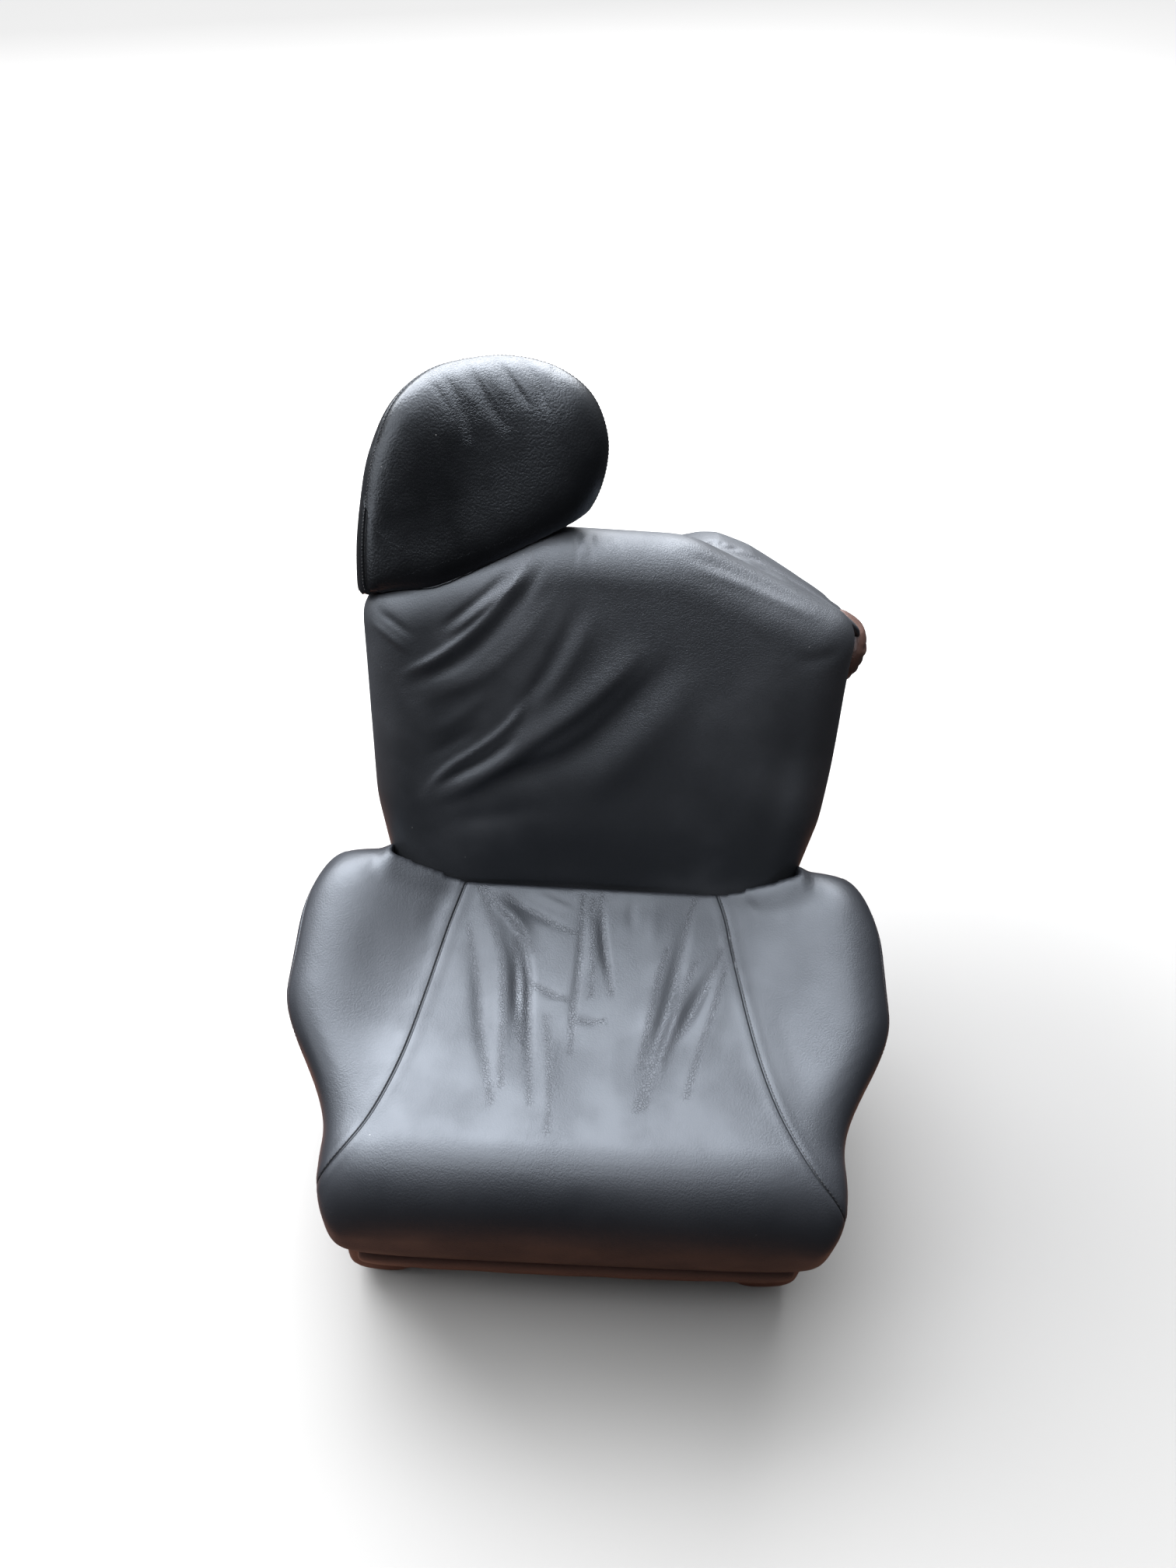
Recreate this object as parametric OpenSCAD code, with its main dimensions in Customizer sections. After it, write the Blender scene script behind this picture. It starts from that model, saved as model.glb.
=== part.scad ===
// Armless recliner: a seat on a fold-out footrest, a gabled backrest that reclines on a cross
// shaft with a round knob on each side, and a headrest split into two ears on slanted hinges.
// The sitter looks along -Y, +Z is up, and the origin is on the floor below the middle.
// Left and right are those of a viewer who faces the chair.

/* [Seat cushion] */
// Half width of the seat at its straight sides
seat_half_w = 348; // [330:1:375]
// Height of the seat's underside above the floor
seat_bottom_z = 152; // [148:1:160]
// Height of the middle of the seat's surface, where it is lowest
seat_dish_z = 352; // [335:1:365]
// Height of the level that the front roll and the sides bulge out at
seat_mid_z = 252; // [235:1:265]
// Distance from the axis of the backrest forward to the start of the front roll
seat_run = 405; // [380:1:430]
// Depth of the front roll from the flat seat to the nose
front_roll = 102; // [85:1:115]
// Rise of the seat's surface towards the backrest
rear_rise = 20; // [8:1:26]
// Rise of the seat's surface towards the front
front_rise = 14; // [5:1:20]
// Height of the side bolsters above the seat at the rear
bolster_h = 74; // [50:1:90]
// How far the bolsters swell out beyond the straight sides
bolster_out = 84; // [50:1:95]
// How far the seat's two side arms reach behind the axis of the backrest
arm_reach = 42; // [40:1:60]
// Width of each arm, from the seat's straight side to the foot of the backrest
arm_wall = 41; // [36:1:50]

/* [Backrest] */
// Angle of the backrest from upright at rest
back_lean = 21.4; // [15:0.1:28]
// Height of the axis that the backrest turns on
axis_z = 230; // [222:1:245]
// Distance of that axis behind the middle of the part
axis_y = 65.5; // [55:0.5:75]
// Thickness of the backrest cushion
back_thick = 120; // [104:1:122]
// How far the backrest widens from its foot to where it has cleared the seat's arms
hip_out = 31; // [20:1:36]
// Length from the axis up the backrest to that place
hip_s = 235; // [220:1:260]
// How far the backrest widens from there to its shoulders
shoulder_out = 14; // [6:1:20]
// Length from the axis up the backrest to the shoulders
shoulder_s = 545; // [520:1:565]
// Width of the flat top between the ears as a share of the width at the shoulders
apex_share = 0.27; // [0.22:0.01:0.32]
// Length from the axis up the backrest to the top
apex_s = 647; // [630:1:665]
// Swell of the backrest's front face
back_crown = 11; // [4:1:18]

/* [Ears] */
// Length of an ear as a share of half the width at the shoulders
ear_len_share = 1.12; // [1:0.01:1.14]
// Height of an ear
ear_h = 250; // [220:1:265]
// Thickness of an ear
ear_thick = 92; // [78:1:96]
// How far an ear reaches out past the outer end of its hinge line
ear_over = 8; // [0:1:12]
// Angle of the raised ear behind the plane of the backrest
ear_up_tilt = 8; // [4:1:14]
// Angle of the folded ear behind the plane of the backrest
ear_down_tilt = 184; // [170:1:186]
// Length of an ear's hinge barrel as a share of the sloping edge that it follows
ear_hinge_share = 0.6; // [0.5:0.01:0.65]

/* [Footrest] */
// How far the footrest's sides stand back from the seat's straight sides
rest_inset = 18; // [8:1:30]
// Distance of the footrest's front face behind the fold axis
rest_setback = 22; // [20:1:30]
// Length of the footrest from front to rear
rest_len = 512; // [470:1:540]
// How far the fold axis lies behind the tip of the seat's nose
fold_back = 17; // [12:0.5:24]
// Height of the arch under the footrest between its four feet
rest_arch = 36; // [20:1:45]
// How far the two front feet swell forward
toe_out = 5; // [1:0.5:6]

/* [Steelwork] */
// Radius of the seat and backrest frame tube
tube_r = 11; // [9:0.5:12]
// Radius of the ear frame rod
ear_rod_r = 7; // [5:0.5:8]
// Radius of the cross shaft
shaft_r = 6; // [5:0.5:8]
// Thickness of the side plates
plate_t = 5; // [4:0.5:6]
// Radius of the recliner discs
disc_r = 38; // [32:1:42]
// Radius of a round knob
knob_r = 41; // [32:1:46]
// Thickness of a round knob
knob_t = 26; // [20:1:30]
// Radius of the hinge pins
pin_r = 4.5; // [3.5:0.1:5]
// Outer radius of the hinge knuckles
knuckle_r = 8; // [7.5:0.1:9]
// Number of teeth on an ear's click wheel
click_teeth = 20; // [14:1:24]

/* [Hidden] */

$fn = 48;
// Overrun of every cut
over = 1;
// Clearance between a shaft and the bore that it turns in
run_gap = 0.06;
// Gap between faces that pass each other
face_gap = 0.3;
// Gap between the backrest and the seat that holds it
nest_gap = 2.5;
// Gap between the sides of the backrest and the seat's arms
side_gap = 8;
// Finger room round a knob, in the underside of the bolster
knob_room = 8;

// Widths that follow the seat's
foot_half_w = seat_half_w - arm_wall - side_gap;
hip_half_w = foot_half_w + hip_out;
shoulder_half_w = hip_half_w + shoulder_out;
apex_half_w = shoulder_half_w * apex_share;
rest_half_w = seat_half_w - rest_inset;
// Fall of the top edge from the flat top to a shoulder, and the ears that stand on it
slope = atan2(apex_s - shoulder_s, shoulder_half_w - apex_half_w);
slope_len = norm([apex_s - shoulder_s, shoulder_half_w - apex_half_w]);
ear_len = shoulder_half_w * ear_len_share;
ear_hinge_len = slope_len * ear_hinge_share;

// Fold axis of the footrest, on the plane between seat and footrest
cover_t = 1.6;
cover_z = seat_bottom_z - cover_t;
fold_y = seat_run - axis_y + front_roll - fold_back;
fold_z = cover_z - face_gap / 2;
rest_top_z = cover_z - face_gap;

// Lowest and highest shares of the corner shape of soft sections
side_square = 5;
nose_square = 4.5;
roll_end = 79;
roll_steps = 6;
flat_steps = 9;
arm_steps = 4;
half_steps = 20;

// Seat stations
seat_flat_y = axis_y - seat_run;
arm_start_y = axis_y - seat_run * 0.2;
arm_end_y = axis_y + arm_reach;
dish_y = axis_y - seat_run * 0.47;
nose_narrow_share = 0.14;
arm_drop_share = 0.7;
arm_lift_share = 0.2;
arm_narrow_share = 0.06;

function clamp01(t) = min(1, max(0, t));
function ease(t) = let (c = clamp01(t)) c * c * (3 - 2 * c);
function mix(a, b, t) = a + (b - a) * t;
function corner(u, power) = pow(max(0, 1 - pow(abs(u), power)), 1 / power);

// Skin over closed rings of equal count, with a fan on each end
function side_faces(m, n) = [
    for (j = [0:m - 2], i = [0:n - 1])
        each [
            [j * n + i, j * n + (i + 1) % n, (j + 1) * n + (i + 1) % n],
            [j * n + i, (j + 1) * n + (i + 1) % n, (j + 1) * n + i]
        ]
];
function fan_faces(m, n) = [
    for (i = [0:n - 1])
        each [
            [m * n, (i + 1) % n, i],
            [m * n + 1, (m - 1) * n + i, (m - 1) * n + (i + 1) % n]
        ]
];
module skin(rings, first_tip, last_tip) {
    m = len(rings);
    n = len(rings[0]);
    all_points = [for (ring = rings) each ring];
    polyhedron(
        points = concat(all_points, [first_tip, last_tip]),
        faces = concat(side_faces(m, n), fan_faces(m, n)),
        convexity = 8
    );
}

// Shares across a soft section from side to side, closer together at the sides
across_shares = [for (i = [0:half_steps]) sin(mix(90, -90, i / half_steps))];

// Surface of the seat before its front roll and rear arms round it off
function dish_rise(y) =
    y > dish_y
    ? rear_rise * pow((y - dish_y) / (axis_y - dish_y), 2)
    : front_rise * pow((y - dish_y) / (seat_flat_y - dish_y), 2);
function bolster_rise(x, y) =
    let (
        along = ease((y - seat_flat_y) / (seat_run * 0.95)),
        inner = mix(seat_half_w * 0.78, seat_half_w * 0.42, along),
        across = ease((abs(x) - inner) / (seat_half_w * 0.98 - inner))
    )
    bolster_h * pow(along, 0.8) * across;
function seat_top(x, y) = seat_dish_z + dish_rise(y) + bolster_rise(x, y);
function swell(y, z) =
    let (
        fore = ease((y - seat_flat_y - seat_run * 0.02) / (seat_run * 0.52)),
        aft = mix(1, 0.55, ease((y - axis_y + seat_run * 0.25) / (seat_run * 0.35))),
        up = ease((z - seat_mid_z + seat_half_w * 0.2) / (seat_half_w * 0.44))
    )
    bolster_out * fore * aft * up;
function seat_point(u, top, y, wide, up_share, low_share) =
    let (
        x0 = u * seat_half_w,
        lift = corner(u, side_square),
        z = top
            ? seat_mid_z + (seat_top(x0, y) - seat_mid_z) * lift * up_share
            : seat_mid_z - (seat_mid_z - seat_bottom_z) * lift * low_share,
        x = x0 * wide * (1 + swell(y, z) / seat_half_w)
    )
    [x, y, z];
function seat_ring(y, wide, up_share, low_share) = concat(
    [for (u = across_shares) seat_point(u, true, y, wide, up_share, low_share)],
    [for (i = [half_steps - 1:-1:1])
        seat_point(across_shares[i], false, y, wide, up_share, low_share)]
);
seat_rings = concat(
    [for (k = [roll_steps:-1:1])
        let (a = roll_end * k / roll_steps)
        seat_ring(
            seat_flat_y - front_roll * sin(a),
            1 - nose_narrow_share * pow(1 - cos(a), 1.4),
            cos(a),
            corner(sin(a), nose_square)
        )],
    [for (k = [0:flat_steps]) seat_ring(mix(seat_flat_y, arm_start_y, k / flat_steps), 1, 1, 1)],
    [for (k = [1:arm_steps])
        let (a = 90 * k / arm_steps)
        seat_ring(
            arm_start_y + (arm_end_y - arm_start_y) * sin(a),
            1 - arm_narrow_share * (1 - cos(a)),
            1 - arm_drop_share * (1 - cos(a)),
            1 - arm_lift_share * (1 - cos(a))
        )]
);

// Place for pieces drawn with the backrest upright: X across, Y to the rear, Z up the slope
module on_back() {
    translate([0, axis_y, axis_z])
        rotate([-back_lean, 0, 0])
            children();
}
module mirrored(side) {
    if (side < 0) {
        children();
    } else {
        mirror([1, 0, 0])
            children();
    }
}
module along_x(x0, x1) {
    translate([x0, 0, 0])
        rotate([90, 0, 90])
            linear_extrude(x1 - x0)
                children();
}

// Closed planar tube loop with bends, in the XY plane
function unit(v) = v / norm(v);
function turned(v) = [-v[1], v[0]];
function turn_angle(d, e) = atan2(d[0] * e[1] - d[1] * e[0], d * e);
// Each bend ends in a sleeve, and the straight tube starts inside it
sleeve_share = 1.14;
sleeve_reach_share = 0.55;
module bent_loop(corners, bend_r, r) {
    n = len(corners);
    reach = r * sleeve_reach_share;
    for (i = [0:n - 1]) {
        here = corners[i];
        after = corners[(i + 1) % n];
        past = corners[(i + 2) % n];
        before = corners[(i + n - 1) % n];
        d0 = unit(here - before);
        d1 = unit(after - here);
        d2 = unit(past - after);
        lead = bend_r * tan(abs(turn_angle(d0, d1)) / 2);
        tail = bend_r * tan(abs(turn_angle(d1, d2)) / 2);
        start = here + d1 * lead;
        finish = after - d1 * tail;
        run = norm(finish - start);
        translate([start[0], start[1], 0])
            rotate([0, 0, atan2(d1[1], d1[0])])
                rotate([0, 90, 0]) {
                    translate([0, 0, reach / 4])
                        cylinder(h = run - reach / 2, r = r);
                    for (z = [-reach / 2, run - reach / 2]) {
                        translate([0, 0, z])
                            cylinder(h = reach, r = r * sleeve_share);
                    }
                }
        centre = finish + turned(d1) * bend_r;
        from = finish - centre;
        translate([centre[0], centre[1], 0])
            rotate([0, 0, atan2(from[1], from[0])])
                rotate_extrude(angle = turn_angle(d1, d2))
                    translate([bend_r, 0])
                        circle(r = r);
    }
}

// Half of a butt hinge: knuckles on the X axis and a leaf that hangs down along -Z
knuckle_count = 5;
leaf_t = 3.5;
module hinge_half(length, fixed, leaf_h, leaf_y, bore_r) {
    step = length / knuckle_count;
    difference() {
        union() {
            for (i = [0:knuckle_count - 1]) {
                if (i % 2 == (fixed ? 0 : 1)) {
                    translate([i * step + face_gap / 2, 0, 0])
                        rotate([0, 90, 0])
                            cylinder(h = step - face_gap, r = knuckle_r);
                    translate([i * step + face_gap / 2, leaf_y, -leaf_h])
                        cube([step - face_gap, leaf_t, leaf_h]);
                }
            }
            translate([face_gap / 2, leaf_y, -leaf_h])
                cube([length - face_gap, leaf_t, leaf_h - knuckle_r - face_gap * 2]);
        }
        translate([-over, 0, 0])
            rotate([0, 90, 0])
                cylinder(h = length + 2 * over, r = bore_r);
    }
}

// Seat frame: tube loop with rear arms that carry the side plates
frame_z = seat_bottom_z + tube_r * 3;
plate_in_x = foot_half_w + side_gap + leaf_t + face_gap;
frame_half_w = plate_in_x + plate_t + tube_r;
frame_front_y = seat_flat_y - front_roll * 0.3;
frame_rear_y = axis_y - back_thick / 2 - nest_gap - tube_r * 2.6;
frame_bend = tube_r * 4;
module seat_frame() {
    color("slategray") {
        translate([0, 0, frame_z])
            bent_loop(
                [
                    [-frame_half_w, frame_front_y],
                    [frame_half_w, frame_front_y],
                    [frame_half_w, frame_rear_y],
                    [-frame_half_w, frame_rear_y]
                ],
                frame_bend, tube_r
            );
    }
}

// Side plate from the frame tube up to the axis
plate_lap = tube_r * 13;
plate_nose_r = tube_r * 1.6;
module plate_outline() {
    circle(r = disc_r);
    polygon([
        [0, disc_r],
        [frame_rear_y - plate_lap - axis_y, frame_z - axis_z + plate_nose_r],
        [frame_rear_y - plate_lap - axis_y, frame_z - axis_z - plate_nose_r],
        [0, frame_z - axis_z - plate_nose_r],
        [disc_r * 0.8, -disc_r * 0.6],
        [0, 0]
    ]);
    translate([frame_rear_y - plate_lap - axis_y, frame_z - axis_z])
        circle(r = plate_nose_r);
}
bolt_r = 4;
bolt_head_r = 7;
bolt_head_h = 4.5;
bolt_places_share = [0.12, 0.82];
module plate_bolt_places() {
    for (share = bolt_places_share) {
        translate([frame_rear_y - frame_bend - plate_lap * share - axis_y, frame_z - axis_z])
            children();
    }
}
module side_plate(side) {
    color("silver")
        mirrored(-side)
            translate([0, axis_y, axis_z])
                along_x(plate_in_x, plate_in_x + plate_t)
                    difference() {
                        plate_outline();
                        circle(r = shaft_r + run_gap);
                        plate_bolt_places()
                            circle(r = bolt_r);
                    }
}
module side_plate_bolts() {
    color("dimgray")
        for (side = [-1, 1]) {
            mirrored(-side)
                translate([0, axis_y, axis_z]) {
                    along_x(plate_in_x - bolt_head_h, plate_in_x)
                        plate_bolt_places()
                            circle(r = bolt_head_r, $fn = 6);
                    along_x(plate_in_x, plate_in_x + plate_t)
                        plate_bolt_places()
                            circle(r = bolt_r);
                }
        }
}

// Recliner: a housing on the seat's plate and a hub on the backrest's arm
arm_plate_x = foot_half_w - plate_t - face_gap * 4;
hub_in_x = arm_plate_x;
hub_out_x = plate_in_x - leaf_t - face_gap * 2;
rim_r = disc_r * 0.9;
rim_t = leaf_t * 0.4;
stud_r = 3;
stud_count = 6;
module recliner_housing(side) {
    color("gray")
        mirrored(-side)
            translate([0, axis_y, axis_z])
                difference() {
                    union() {
                        along_x(plate_in_x - leaf_t - face_gap, plate_in_x)
                            circle(r = rim_r);
                    }
                    along_x(plate_in_x - leaf_t - over, plate_in_x + over)
                        circle(r = shaft_r + run_gap);
                    along_x(plate_in_x - leaf_t - face_gap - over, plate_in_x - rim_t)
                        for (i = [0:stud_count - 1]) {
                            rotate((i + 0.5) * 360 / stud_count)
                                translate([rim_r * 0.68, 0])
                                    circle(r = stud_r);
                        }
                }
}
module recliner_hub(side) {
    color("darkgray")
        mirrored(-side)
            on_back()
                difference() {
                    union() {
                        along_x(hub_in_x, hub_out_x - rim_t)
                            circle(r = rim_r);
                        along_x(hub_out_x - rim_t - over, hub_out_x)
                            circle(r = rim_r * 0.8);
                    }
                    along_x(hub_in_x - over, hub_out_x + over)
                        circle(r = shaft_r + run_gap);
                }
}

// Webbing across the seat frame
strap_w = 46;
strap_t = 2.4;
cross_straps = 4;
long_straps = 5;
module strap_field(half_w, y0, y1, z) {
    span = y1 - y0;
    for (i = [1:cross_straps]) {
        translate([-half_w, y0 + span * i / (cross_straps + 1) - strap_w / 2, z])
            cube([half_w * 2, strap_w, strap_t]);
    }
    for (i = [1:long_straps]) {
        translate([-half_w + half_w * 2 * i / (long_straps + 1) - strap_w / 2, y0, z + strap_t])
            cube([strap_w, span, strap_t]);
    }
}
module seat_webbing() {
    color("black")
        strap_field(frame_half_w, frame_front_y, frame_rear_y, frame_z + tube_r);
}

// Clear space that the foot of the backrest turns in
module back_room(gap) {
    half = foot_half_w + side_gap;
    r = back_thick / 2 + gap;
    // The flat sides start just inside the round, so that they meet it in a clean edge
    flat_r = r - face_gap;
    reach = apex_s * 2;
    translate([0, axis_y, axis_z])
        along_x(-half, half)
            union() {
                circle(r = r);
                rotate(-back_lean)
                    translate([-flat_r, 0])
                        square([reach, reach]);
                translate([-flat_r, -reach])
                    square([reach, reach]);
            }
}
module seat_cushion() {
    shaft_room = shaft_r + nest_gap;
    color([0.06, 0.06, 0.07])
        difference() {
            skin(
                seat_rings,
                [0, seat_rings[0][0][1], seat_mid_z],
                [0, arm_end_y, seat_mid_z]
            );
            back_room(nest_gap);
            translate([0, axis_y, axis_z]) {
                along_x(-seat_half_w * 2, seat_half_w * 2)
                    circle(r = shaft_room, $fn = 16);
                for (side = [-1, 1]) {
                    mirrored(-side)
                        along_x(seat_half_w, seat_half_w * 2)
                            circle(r = knob_r + knob_room, $fn = 24);
                }
            }
        }
}
module seat_bottom_cover() {
    color("dimgray") {
        front = seat_flat_y - front_roll * 0.4;
        rear = axis_y - back_thick / 2 - nest_gap;
        half = seat_half_w - tube_r * 2;
        difference() {
            translate([-half, front, cover_z])
                cube([half * 2, rear - front, cover_t]);
            for (side = [-1, 1]) {
                translate([side * half, front, cover_z - over])
                    rotate([0, 0, 45])
                        cube([tube_r * 2, tube_r * 2, cover_t * 4], center = true);
            }
        }
    }
}

// Fold hinges between the seat and the footrest
fold_hinge_len = 90;
fold_hinge_x = rest_half_w * 0.53;
fold_leaf_h = 74;
seat_leaf_turn = 122;
rest_leaf_turn = 57;
module fold_place(side) {
    translate([side * fold_hinge_x + (side < 0 ? -fold_hinge_len : 0), -fold_y, fold_z])
        children();
}
module fold_leaf(side) {
    color("silver")
        fold_place(side)
            rotate([seat_leaf_turn, 0, 0])
                hinge_half(fold_hinge_len, true, fold_leaf_h, knuckle_r - leaf_t, pin_r);
}
module rest_leaf(side) {
    color("silver")
        fold_place(side)
            rotate([rest_leaf_turn, 0, 0])
                hinge_half(fold_hinge_len, false, fold_leaf_h, -knuckle_r, pin_r + run_gap);
}
pin_head_t = 2;
pin_head_r = pin_r * 1.4;
module hinge_pin(length) {
    rotate([0, 90, 0])
        cylinder(h = length, r = pin_r);
    for (x = [-pin_head_t, length]) {
        translate([x, 0, 0])
            rotate([0, 90, 0])
                cylinder(h = pin_head_t, r = pin_head_r);
    }
}
module fold_pin(side) {
    color("gainsboro")
        fold_place(side)
            hinge_pin(fold_hinge_len);
}

// Backrest frame, in the plane nearest the rear cover
back_frame_y = back_thick * 0.2;
back_frame_half_w = arm_plate_x - tube_r;
back_frame_foot = back_thick * 0.6;
rail_depth = tube_r * 9;
rail_top_s = apex_s - rail_depth / cos(slope);
rail_side_s = shoulder_s + (shoulder_half_w - back_frame_half_w) * tan(slope)
    - rail_depth / cos(slope);
back_corners = [
    [-back_frame_half_w, back_frame_foot],
    [back_frame_half_w, back_frame_foot],
    [back_frame_half_w, rail_side_s],
    [apex_half_w, rail_top_s],
    [-apex_half_w, rail_top_s],
    [-back_frame_half_w, rail_side_s]
];
module back_frame() {
    color("slategray")
        on_back()
            translate([0, back_frame_y, 0])
                rotate([90, 0, 0])
                    bent_loop(back_corners, frame_bend, tube_r);
}
arm_lap = tube_r * 9;
module back_arm(side) {
    top = back_frame_foot + frame_bend + arm_lap;
    color("silver")
        mirrored(-side)
            on_back()
                difference() {
                    union() {
                        along_x(arm_plate_x - plate_t, arm_plate_x)
                            circle(r = disc_r);
                        along_x(arm_plate_x - plate_t, arm_plate_x)
                            polygon([
                                [-disc_r * 0.5, -disc_r * 0.3],
                                [back_frame_y - tube_r, top],
                                [back_frame_y + tube_r, top],
                                [disc_r * 0.5, -disc_r * 0.3]
                            ]);
                    }
                    along_x(arm_plate_x - plate_t - over, arm_plate_x + over)
                        circle(r = shaft_r + run_gap);
                }
}
module back_webbing() {
    y = back_frame_y - tube_r - strap_t;
    low = back_frame_foot;
    high = rail_top_s;
    side_top = rail_side_s;
    color("black")
        on_back() {
            for (i = [1:cross_straps + 1]) {
                translate([
                    -back_frame_half_w,
                    y,
                    low + (side_top - low) * i / (cross_straps + 2) - strap_w / 2
                ])
                    cube([back_frame_half_w * 2, strap_t, strap_w]);
            }
            for (x = [-apex_half_w, 0, apex_half_w]) {
                translate([x - strap_w / 2, y - strap_t, low])
                    cube([strap_w, strap_t, high - low]);
            }
        }
}

// Outline with rounded corners, points in order, each corner with its own radius
function arc_corner(before, here, after, r, steps) =
    let (
        d0 = unit(here - before),
        d1 = unit(after - here),
        turn = turn_angle(d0, d1),
        lead = r * tan(abs(turn) / 2),
        side = sign(turn),
        centre = here - d0 * lead + turned(d0) * r * side,
        start = here - d0 * lead - centre
    )
    [for (k = [0:steps])
        let (a = turn * k / steps)
        centre + [start[0] * cos(a) - start[1] * sin(a), start[0] * sin(a) + start[1] * cos(a)]];
function rounded(corners, radii, steps) = [
    for (i = [0:len(corners) - 1])
        each arc_corner(
            corners[(i + len(corners) - 1) % len(corners)],
            corners[i],
            corners[(i + 1) % len(corners)],
            radii[i],
            steps
        )
];
// The same outline with long stretches cut into even steps
function spread(points, reach) = [
    for (i = [0:len(points) - 1])
        let (
            p = points[i],
            q = points[(i + 1) % len(points)],
            parts = max(1, round(norm(q - p) / reach))
        )
        for (k = [0:parts - 1]) mix(p, q, k / parts)
];

back_edge_r = back_thick / 2;
foot_corner_r = back_thick * 0.3;
shoulder_r = back_thick * 0.4;
apex_r = back_thick * 1.2;
waist_r = back_thick * 2;
waist_s = back_thick * 0.8;
waist_half_w = foot_half_w + side_gap * 0.4;
back_outline = spread(
    rounded(
        [
            [-foot_half_w, -back_edge_r],
            [foot_half_w, -back_edge_r],
            [waist_half_w, waist_s],
            [hip_half_w, hip_s],
            [shoulder_half_w, shoulder_s],
            [apex_half_w, apex_s],
            [-apex_half_w, apex_s],
            [-shoulder_half_w, shoulder_s],
            [-hip_half_w, hip_s],
            [-waist_half_w, waist_s]
        ],
        [
            foot_corner_r, foot_corner_r, waist_r, waist_r, shoulder_r, apex_r,
            apex_r, shoulder_r, waist_r, waist_r
        ],
        3
    ),
    back_thick * 0.9
);
back_mid_s = (apex_s - back_edge_r) / 2;
back_reach_s = back_mid_s + back_edge_r;
function back_inset(p, d) = [
    p[0] * (1 - d / foot_half_w),
    back_mid_s + (p[1] - back_mid_s) * (1 - d / back_reach_s)
];
function back_face(p, share) =
    let (q = back_inset(p, back_edge_r))
    [q[0] * share, back_mid_s + (q[1] - back_mid_s) * share];
function back_puff(s, share) =
    back_crown * (1 - share * share) * ease((s - back_thick) / back_thick);
rim_angles = [0, 18, 36, 54, 72];
face_shares = [1, 0.78, 0.52, 0.26];
back_rings = concat(
    [for (share = face_shares)
        if (share < 1)
            [for (p = back_outline)
                let (q = back_face(p, 1 - share + face_shares[3]))
                [q[0], -back_edge_r - back_puff(q[1], 1 - share + face_shares[3]), q[1]]]],
    [for (a = [90, 72, 54, 36, 18])
        [for (p = back_outline)
            let (q = back_inset(p, back_edge_r * (1 - cos(a))))
            [q[0], -back_edge_r * sin(a), q[1]]]],
    [for (a = concat(rim_angles, [90]))
        [for (p = back_outline)
            let (q = back_inset(p, back_edge_r * (1 - cos(a))))
            [q[0], back_edge_r * sin(a), q[1]]]],
    [for (share = face_shares)
        if (share < 1)
            [for (p = back_outline)
                let (q = back_face(p, share))
                [q[0], back_edge_r, q[1]]]]
);
module back_cushion() {
    color([0.06, 0.06, 0.07])
        on_back()
            difference() {
                skin(
                    back_rings,
                    [0, -back_edge_r - back_puff(back_mid_s, 0), back_mid_s],
                    [0, back_edge_r, back_mid_s]
                );
                along_x(-foot_half_w * 2, foot_half_w * 2)
                    circle(r = shaft_r + nest_gap, $fn = 16);
            }
}

// Hinge line of an ear, along the sloping edge of the backrest
hinge_drop = back_thick * 0.3;
hinge_back = back_thick * 0.575;
hinge_start = (slope_len - ear_hinge_len) * 0.3;
module on_hinge(side) {
    mirrored(side)
        on_back()
            translate([-shoulder_half_w, hinge_back, shoulder_s])
                rotate([0, -slope, 0])
                    translate([0, 0, -hinge_drop])
                        children();
}
module on_ear(side) {
    on_hinge(side)
        rotate([side < 0 ? -ear_up_tilt : -ear_down_tilt, 0, 0])
            children();
}
// The leaf leans in until its face lies on the frame's sloping rail
rail_y = back_frame_y - hinge_back;
rail_z = rail_depth - hinge_drop;
bracket_turn = atan2(-rail_y, rail_z) - asin((knuckle_r + tube_r) / norm([rail_y, rail_z]));
bracket_leaf_h = norm([rail_y, rail_z]) + tube_r;
module ear_bracket(side) {
    color("silver")
        on_hinge(side)
            translate([hinge_start, 0, 0])
                rotate([-bracket_turn, 0, 0])
                    hinge_half(ear_hinge_len, true, bracket_leaf_h, -knuckle_r, pin_r);
}
module ear_pin(side) {
    color("gainsboro")
        on_hinge(side)
            translate([hinge_start, 0, 0])
                hinge_pin(ear_hinge_len + click_t + face_gap);
}

// Click wheel on the ear and the spring that rides on its teeth
click_t = 8;
click_r = 12.6;
click_depth = 1.8;
spring_t = 1.2;
spring_w = 6;
// The spring's foot ends above the frame's tube
spring_foot = bracket_leaf_h - 2 * tube_r - face_gap;
module click_wheel(side) {
    color("darkgray")
        on_ear(side)
            translate([hinge_start + ear_hinge_len + face_gap / 2, 0, 0])
                difference() {
                    along_x(0, click_t)
                        difference() {
                            circle(r = click_r);
                            for (i = [0:click_teeth - 1]) {
                                rotate(i * 360 / click_teeth)
                                    translate([click_r, 0])
                                        circle(r = click_depth, $fn = 4);
                            }
                        }
                    translate([-over, 0, 0])
                        rotate([0, 90, 0])
                            cylinder(h = click_t + 2 * over, r = pin_r + run_gap);
                }
}
module click_spring(side) {
    color("lightgray")
        on_hinge(side)
            translate([hinge_start + ear_hinge_len + (click_t - spring_w) / 2, 0, 0])
                rotate([-bracket_turn, 0, 0]) {
                    translate([0, -knuckle_r, -spring_foot])
                        cube([spring_w, leaf_t, spring_foot - click_r - face_gap - spring_t]);
                    translate([0, -knuckle_r, -click_r - face_gap - spring_t])
                        cube([spring_w, knuckle_r, spring_t]);
                    translate([-spring_w, -knuckle_r, -spring_foot])
                        cube([spring_w + over, leaf_t, bracket_leaf_h / 4]);
                }
}

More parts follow.
